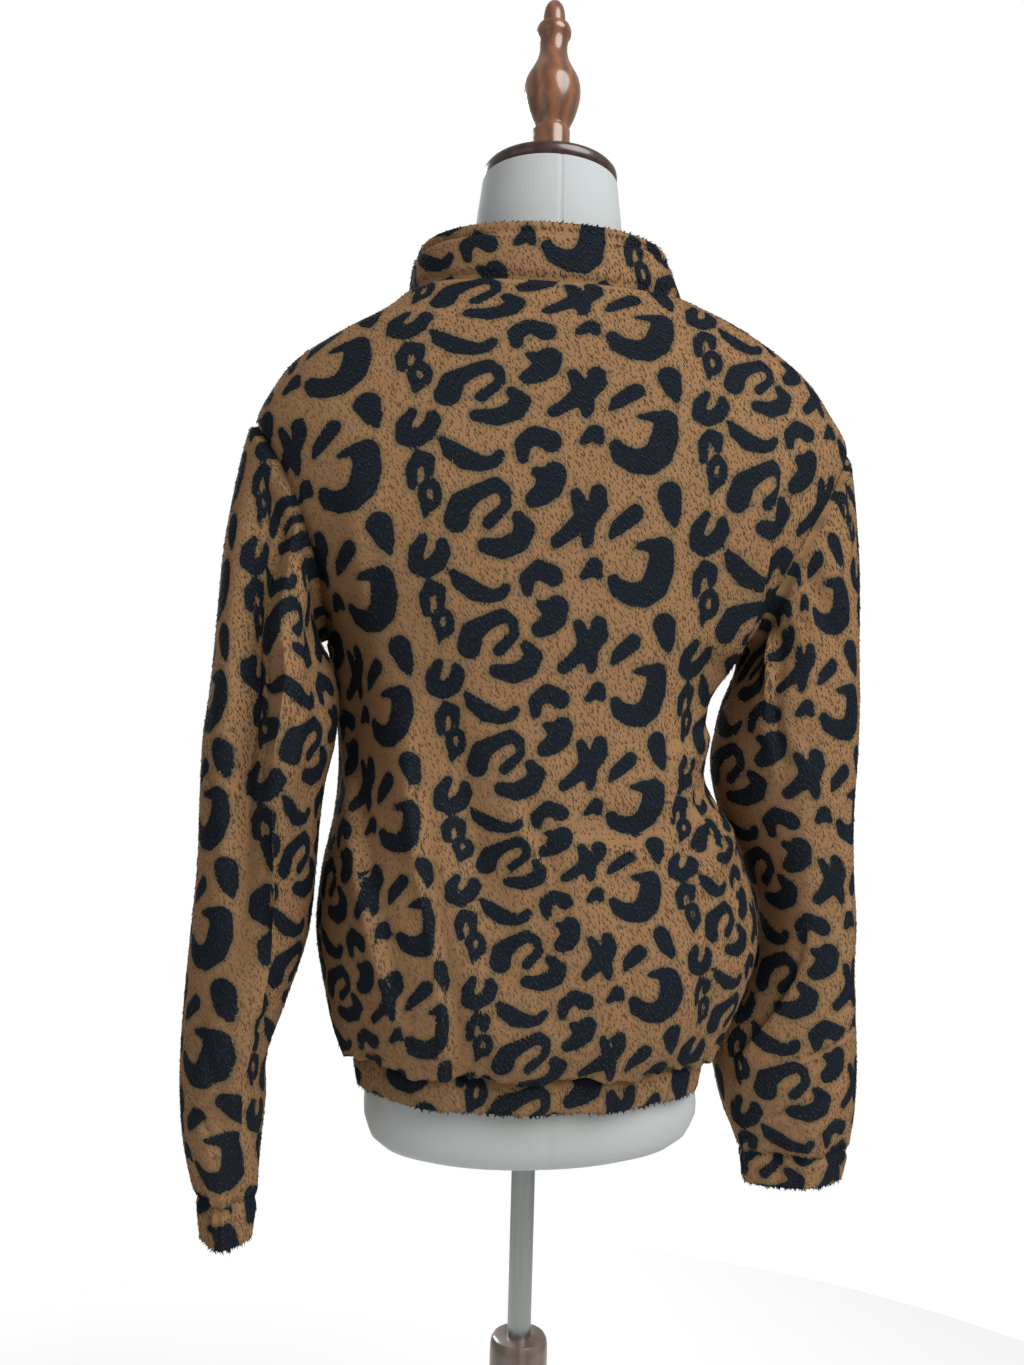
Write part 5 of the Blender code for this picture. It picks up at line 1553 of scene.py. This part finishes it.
def shape_leg(name, turn):
    """A leg drawn out from the column station by station, then eased along its edges."""
    deselect_all()
    out, top, under = LEG_STATIONS[0]
    bpy.ops.mesh.primitive_plane_add(
        size=1.0, location=(out, 0.0, (top + under) / 2), rotation=(0.0, math.pi / 2, 0.0))
    piece = bpy.context.object
    piece.name = name
    bpy.ops.object.mode_set(mode="EDIT")
    bpy.ops.mesh.select_all(action="SELECT")
    middle = (top + under) / 2
    bpy.ops.transform.resize(
        value=(1.0, LEG_WIDTH, top - under), center_override=(out, 0.0, middle))
    for next_out, next_top, next_under in LEG_STATIONS[1:]:
        next_middle = (next_top + next_under) / 2
        step = (next_out - out, 0.0, next_middle - middle)
        bpy.ops.mesh.extrude_region_move(TRANSFORM_OT_translate={"value": step})
        factor = (next_top - next_under) / (top - under)
        bpy.ops.transform.resize(
            value=(1.0, 1.0, factor), center_override=(next_out, 0.0, next_middle))
        out, top, under, middle = next_out, next_top, next_under, next_middle
    bpy.ops.object.mode_set(mode="OBJECT")
    edge = piece.modifiers.new("eased_edges", "BEVEL")
    edge.width, edge.segments, edge.limit_method = LEG_EDGE, 3, "ANGLE"
    edge.angle_limit = math.radians(50)
    bpy.ops.object.modifier_apply(modifier=edge.name)
    bpy.ops.object.mode_set(mode="EDIT")
    settle(piece)
    piece.data.transform(Matrix.Rotation(turn, 4, "Z"))
    return piece


def form_mesh():
    """The form's torso and neck, smooth, with a stitched valley along each seam."""
    rows = np.array(FORM_ROWS)
    levels = [rows[0, 0]]
    for low, high in zip(rows[:, 0], rows[1:, 0]):
        steps = max(1, round((high - low) / FORM_RING_STEP))
        levels += list(np.linspace(low, high, steps + 1)[1:])
    row = read_table(FORM_ROWS, FORM_COLUMNS, levels)
    row = {name: value[:, None] for name, value in row.items()}
    degrees = np.arange(FORM_SEGMENTS) * 360.0 / FORM_SEGMENTS
    angles = np.radians(degrees)[None, :]
    cos, sin = np.cos(angles), np.sin(angles)
    power = 2.0 / row["square"]
    x = row["centre_x"] + row["half_width"] * signed_power(cos, power)
    y = np.where(sin >= 0, row["back"], row["front"]) * signed_power(sin, power)
    z = np.broadcast_to(row["z"], x.shape)
    outward = np.stack((cos + 0 * x, sin + 0 * x, 0 * x), axis=-1)
    points = np.stack((x, y, z), axis=-1)
    for seam in FORM_SEAMS:
        index = int(round(seam / 360.0 * FORM_SEGMENTS)) % FORM_SEGMENTS
        across = np.linalg.norm(points - points[:, index:index + 1], axis=2)
        outward_cut = FORM_SEAM_DEPTH * np.exp(-((across / FORM_SEAM_REACH) ** 2))
        points = points - outward * outward_cut[..., None]
    bm = bmesh.new()
    rings = []
    socket = POLE_RADIUS + SOCKET_GAP
    for radius, height in ((socket, levels[0] + SOCKET_DEPTH), (socket, levels[0])):
        rings.append([
            bm.verts.new((radius * c, radius * s, height)) for c, s in zip(cos[0], sin[0])])
    for ring in points:
        rings.append([bm.verts.new(p) for p in ring])
    for low, high in zip(rings, rings[1:]):
        for c in range(FORM_SEGMENTS):
            n = (c + 1) % FORM_SEGMENTS
            bm.faces.new((low[c], low[n], high[n], high[c]))
    bm.faces.new(rings[0])
    bm.faces.new(rings[-1])
    bmesh.ops.recalc_face_normals(bm, faces=bm.faces)
    mesh = bpy.data.meshes.new("form_cover")
    bm.to_mesh(mesh)
    bm.free()
    mesh.shade_smooth()
    mesh.set_sharp_from_angle(angle=math.radians(SHARP_EDGE))
    return mesh


def zip_path():
    """Points up the zip, the way along it and the way each one faces."""
    sections = (
        (HEM_ROWS, HEM_BOTTOM, HEM_SEAM), (BODY_ROWS, HEM_SEAM, NECK_SEAM),
        (COLLAR_ROWS, NECK_SEAM, COLLAR_TOP),
    )
    points = []
    for table, low, high in sections:
        levels = np.linspace(low, high, ZIP_SAMPLES)
        row = read_table(table, LEVEL_COLUMNS, levels)
        points.append(section_points(row, np.full((len(levels), 1), -math.pi / 2))[:, 0])
    points = np.concatenate(points)
    steps = np.linalg.norm(np.diff(points, axis=0), axis=1)
    keep = np.concatenate(([True], steps > 1e-5))
    points = points[keep]
    lengths = np.concatenate(([0.0], np.linalg.norm(np.diff(points, axis=0), axis=1).cumsum()))
    count = int((lengths[-1] - 2 * ZIP_END_GAP) / TEETH_PITCH)
    wanted = ZIP_END_GAP + (np.arange(count) + 0.5) * TEETH_PITCH
    places = np.stack([np.interp(wanted, lengths, points[:, i]) for i in range(3)], axis=1)
    along = np.gradient(places, axis=0)
    along /= np.linalg.norm(along, axis=1, keepdims=True)
    return places, along


def model_tooth():
    """One tooth: a block drawn out to a narrower nose and eased at its edges."""
    deselect_all()
    bpy.ops.mesh.primitive_cube_add(size=1.0, location=(0.0, 0.0, 0.0))
    tooth = bpy.context.object
    tooth.name = "zip_tooth"
    bpy.ops.object.mode_set(mode="EDIT")
    bpy.ops.mesh.select_all(action="SELECT")
    bpy.ops.transform.resize(value=TOOTH_SIZE, center_override=(0.0, 0.0, 0.0))
    bpy.ops.mesh.select_all(action="DESELECT")
    bm = bmesh.from_edit_mesh(tooth.data)
    for face in bm.faces:
        face.select = face.normal.x > 0.9
    bmesh.update_edit_mesh(tooth.data)
    bpy.ops.mesh.extrude_region_move(TRANSFORM_OT_translate={"value": (NOSE_LENGTH, 0.0, 0.0)})
    nose = TOOTH_SIZE[0] / 2 + NOSE_LENGTH
    bpy.ops.transform.resize(value=NOSE_TAPER, center_override=(nose, 0.0, 0.0))
    bpy.ops.object.mode_set(mode="OBJECT")
    edge = tooth.modifiers.new("eased_edges", "BEVEL")
    edge.width, edge.segments, edge.limit_method = TOOTH_EDGE, 1, "ANGLE"
    bpy.ops.object.modifier_apply(modifier=edge.name)
    points = np.array([v.co for v in tooth.data.vertices])
    faces = [list(p.vertices) for p in tooth.data.polygons]
    mesh = tooth.data
    bpy.data.objects.remove(tooth)
    bpy.data.meshes.remove(mesh)
    return points, faces


# Operators


class JACKET_OT_make_cloth(bpy.types.Operator):
    """Makes every sewn piece of fleece with its print and its pile."""

    bl_idname = "jacket.make_cloth"
    bl_label = "Make the fleece"

    def execute(self, context):
        look = context.scene.jacket_look
        chart = print_chart()
        dice = np.random.default_rng(PILE_SEED)
        ground = fleece_ground(look)
        tones = pile_materials(look)
        for piece in sewn_pieces():
            name = piece["name"]
            cloth = add_object(
                "fleece_" + name, cloth_mesh(piece, chart), [ground], (name,))
            for label, mesh in pile_of(piece, chart, look, dice):
                add_object(
                    f"pile_{label}_{name}", mesh, tones[label])
        return {"FINISHED"}


class JACKET_OT_make_zip(bpy.types.Operator):
    """Makes the zip's teeth and gives its tapes, slider and pull tab their finish."""

    bl_idname = "jacket.make_zip"
    bl_label = "Make the zip"

    def execute(self, context):
        points, faces = model_tooth()
        places, along = zip_path()
        bm = bmesh.new()
        for place, up in zip(places, along):
            out = np.array((0.0, -up[2], up[1]))
            for side in (1, -1):
                shift = up * (TEETH_PITCH / 4 * side)
                middle = place - out * (TEETH_RECESS + TOOTH_SIZE[2] / 2) + shift
                across = np.array((-float(side), 0.0, 0.0))
                centre = middle + np.array((side * TOOTH_OFFSET, 0.0, 0.0))
                verts = [
                    bm.verts.new(centre + across * p[0] + up * p[1] + out * p[2]) for p in points]
                for face in faces:
                    bm.faces.new([verts[i] for i in face])
        bmesh.ops.recalc_face_normals(bm, faces=bm.faces)
        mesh = bpy.data.meshes.new("zip_teeth_rows")
        bm.to_mesh(mesh)
        bm.free()
        metal = brushed_metal(
            "zip_metal_finish", (0.42, 0.40, 0.36), 0.32, (0.0011, 0.0011, 0.0033))
        add_object("zip_teeth_rows", mesh, [metal], ("zip_teeth",))
        tape = woven_tape()
        for name, material in (
            ("zip_tape_left", tape), ("zip_tape_right", tape),
            ("zip_slider", metal), ("zip_pull_tab", metal),
        ):
            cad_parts[name].data.materials.clear()
            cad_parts[name].data.materials.append(material)
        return {"FINISHED"}


class JACKET_OT_make_form(bpy.types.Operator):
    """Makes the dress form's padded, cotton-covered torso and neck."""

    bl_idname = "jacket.make_form"
    bl_label = "Make the form"

    def execute(self, context):
        look = context.scene.form_look
        cover = add_object(
            "form_cover", form_mesh(), [cotton_cover(look)], ("form_torso",))
        return {"FINISHED"}


class JACKET_OT_make_stand(bpy.types.Operator):
    """Turns the cap, finial, pole and column, and shapes the four legs."""

    bl_idname = "jacket.make_stand"
    bl_label = "Make the stand"

    def execute(self, context):
        look = context.scene.form_look
        dark = turned_wood("dark_wood_finish", look.dark, 0.35, 0.30, 0.011)
        varnished = turned_wood("varnished_wood_finish", look.varnish, 0.38, 0.22, 0.009)
        stand = turned_wood("stand_wood_finish", look.stand, 0.55, 0.45, 0.0125)
        steel = brushed_metal(
            "pole_steel_finish", (0.36, 0.39, 0.37), 0.34, (0.0033, 0.0033, 0.083))
        pole = ((POLE_RADIUS, POLE_TOP), (POLE_RADIUS, POLE_BOTTOM))
        for name, profile, material, slot, node in (
            ("turned_cap", CAP_PROFILE, dark, "dark_wood", "neck_cap"),
            ("turned_finial", FINIAL_PROFILE, varnished, "varnished_wood", "neck_finial"),
            ("steel_pole", pole, steel, "pole_steel", "stand_pole"),
            ("turned_column", COLUMN_PROFILE, stand, "stand_wood", "stand_column"),
        ):
            finish_piece(turn_on_lathe(name, profile), [material], (node,))
        for index, node in enumerate(LEG_NAMES):
            leg = shape_leg("shaped_" + node, index * math.pi / 2)
            finish_piece(leg, [stand], (node,))
        return {"FINISHED"}


class JACKET_OT_make_studio(bpy.types.Operator):
    """Lays the floor and backdrop, sets the lights and places the camera."""

    bl_idname = "jacket.make_studio"
    bl_label = "Make the studio"

    def execute(self, context):
        look = context.scene.studio_look
        self.lay_floor(look)
        self.set_lights(context, look)
        self.place_camera(context)
        return {"FINISHED"}

    def lay_floor(self, look):
        deselect_all()
        bpy.ops.mesh.primitive_circle_add(
            vertices=160, radius=FLOOR_RADIUS, fill_type="NGON", location=(0.0, 0.0, 0.0))
        floor = bpy.context.object
        floor.name = "studio_floor"
        floor.data.materials.append(studio_paper(look))

    def set_lights(self, context, look):
        world = bpy.data.worlds.new("studio_world")
        world.use_nodes = True
        background = world.node_tree.nodes["Background"]
        background.inputs["Color"].default_value = (1.0, 1.0, 1.0, 1.0)
        background.inputs["Strength"].default_value = look.sky
        tree = world.node_tree
        seen = add_node(tree, "ShaderNodeBackground")
        seen.inputs["Color"].default_value = (1.0, 1.0, 1.0, 1.0)
        either = add_node(tree, "ShaderNodeMixShader")
        rays = add_node(tree, "ShaderNodeLightPath")
        tree.links.new(rays.outputs["Is Camera Ray"], either.inputs[0])
        tree.links.new(background.outputs[0], either.inputs[1])
        tree.links.new(seen.outputs[0], either.inputs[2])
        tree.links.new(either.outputs[0], tree.nodes["World Output"].inputs["Surface"])
        context.scene.world = world
        context.scene.view_settings.view_transform = "Standard"
        for name, (place, size) in LAMPS.items():
            light = bpy.data.lights.new(name, "AREA")
            light.shape, light.size = "DISK", size
            light.energy = getattr(look, name + "_power")
            lamp = bpy.data.objects.new(name, light)
            lamp.location = place
            aim = Vector(LIT_MIDDLE) - Vector(place)
            lamp.rotation_mode = "QUATERNION"
            lamp.rotation_quaternion = aim.to_track_quat("-Z", "Y")
            context.scene.collection.objects.link(lamp)

    def place_camera(self, context):
        yaw, roll = math.radians(CAMERA_YAW), math.radians(CAMERA_ROLL)
        back = Vector((math.sin(yaw), math.cos(yaw), 0.0))
        level_right = Vector((-math.cos(yaw), math.sin(yaw), 0.0))
        level_up = Vector((0.0, 0.0, 1.0))
        right = level_right * math.cos(roll) + level_up * math.sin(roll)
        up = level_up * math.cos(roll) - level_right * math.sin(roll)
        camera = bpy.data.cameras.new("photo_camera")
        camera.lens = FOCAL_PIXELS / LONG_SIDE_PIXELS * camera.sensor_width
        camera.shift_x = -SHIFT_PIXELS[0] / LONG_SIDE_PIXELS
        camera.shift_y = SHIFT_PIXELS[1] / LONG_SIDE_PIXELS
        holder = bpy.data.objects.new("photo_camera", camera)
        place = Vector((back.x * CAMERA_DISTANCE, back.y * CAMERA_DISTANCE, CAMERA_HEIGHT))
        axes = Matrix((right, up, back)).transposed().to_4x4()
        holder.matrix_world = Matrix.Translation(place) @ axes
        context.scene.collection.objects.link(holder)
        context.scene.camera = holder


class JACKET_PT_panel(bpy.types.Panel):
    """Lists the steps that make the jacket."""

    bl_idname = "JACKET_PT_panel"
    bl_label = "Teddy fleece jacket"
    bl_space_type = "VIEW_3D"
    bl_region_type = "UI"
    bl_category = "Jacket"

    def draw(self, context):
        layout = self.layout
        for group in ("jacket_look", "form_look", "studio_look"):
            settings = getattr(context.scene, group)
            for name in settings.__annotations__:
                layout.prop(settings, name)
        for step in STEPS:
            layout.operator(step.bl_idname)


STEPS = (
    JACKET_OT_make_cloth, JACKET_OT_make_zip, JACKET_OT_make_form, JACKET_OT_make_stand,
    JACKET_OT_make_studio,
)
SETTINGS = {"jacket_look": JacketLook, "form_look": FormLook, "studio_look": StudioLook}


def register():
    for group in SETTINGS.values():
        bpy.utils.register_class(group)
    for step in STEPS:
        bpy.utils.register_class(step)
    bpy.utils.register_class(JACKET_PT_panel)
    for name, group in SETTINGS.items():
        setattr(bpy.types.Scene, name, bpy.props.PointerProperty(type=group))


def unregister():
    for name in SETTINGS:
        delattr(bpy.types.Scene, name)
    bpy.utils.unregister_class(JACKET_PT_panel)
    for step in reversed(STEPS):
        bpy.utils.unregister_class(step)
    for group in SETTINGS.values():
        bpy.utils.unregister_class(group)


def main():
    register()
    bpy.ops.jacket.make_cloth()
    bpy.ops.jacket.make_zip()
    bpy.ops.jacket.make_form()
    bpy.ops.jacket.make_stand()
    bpy.ops.jacket.make_studio()


if __name__ == "__main__":
    main()
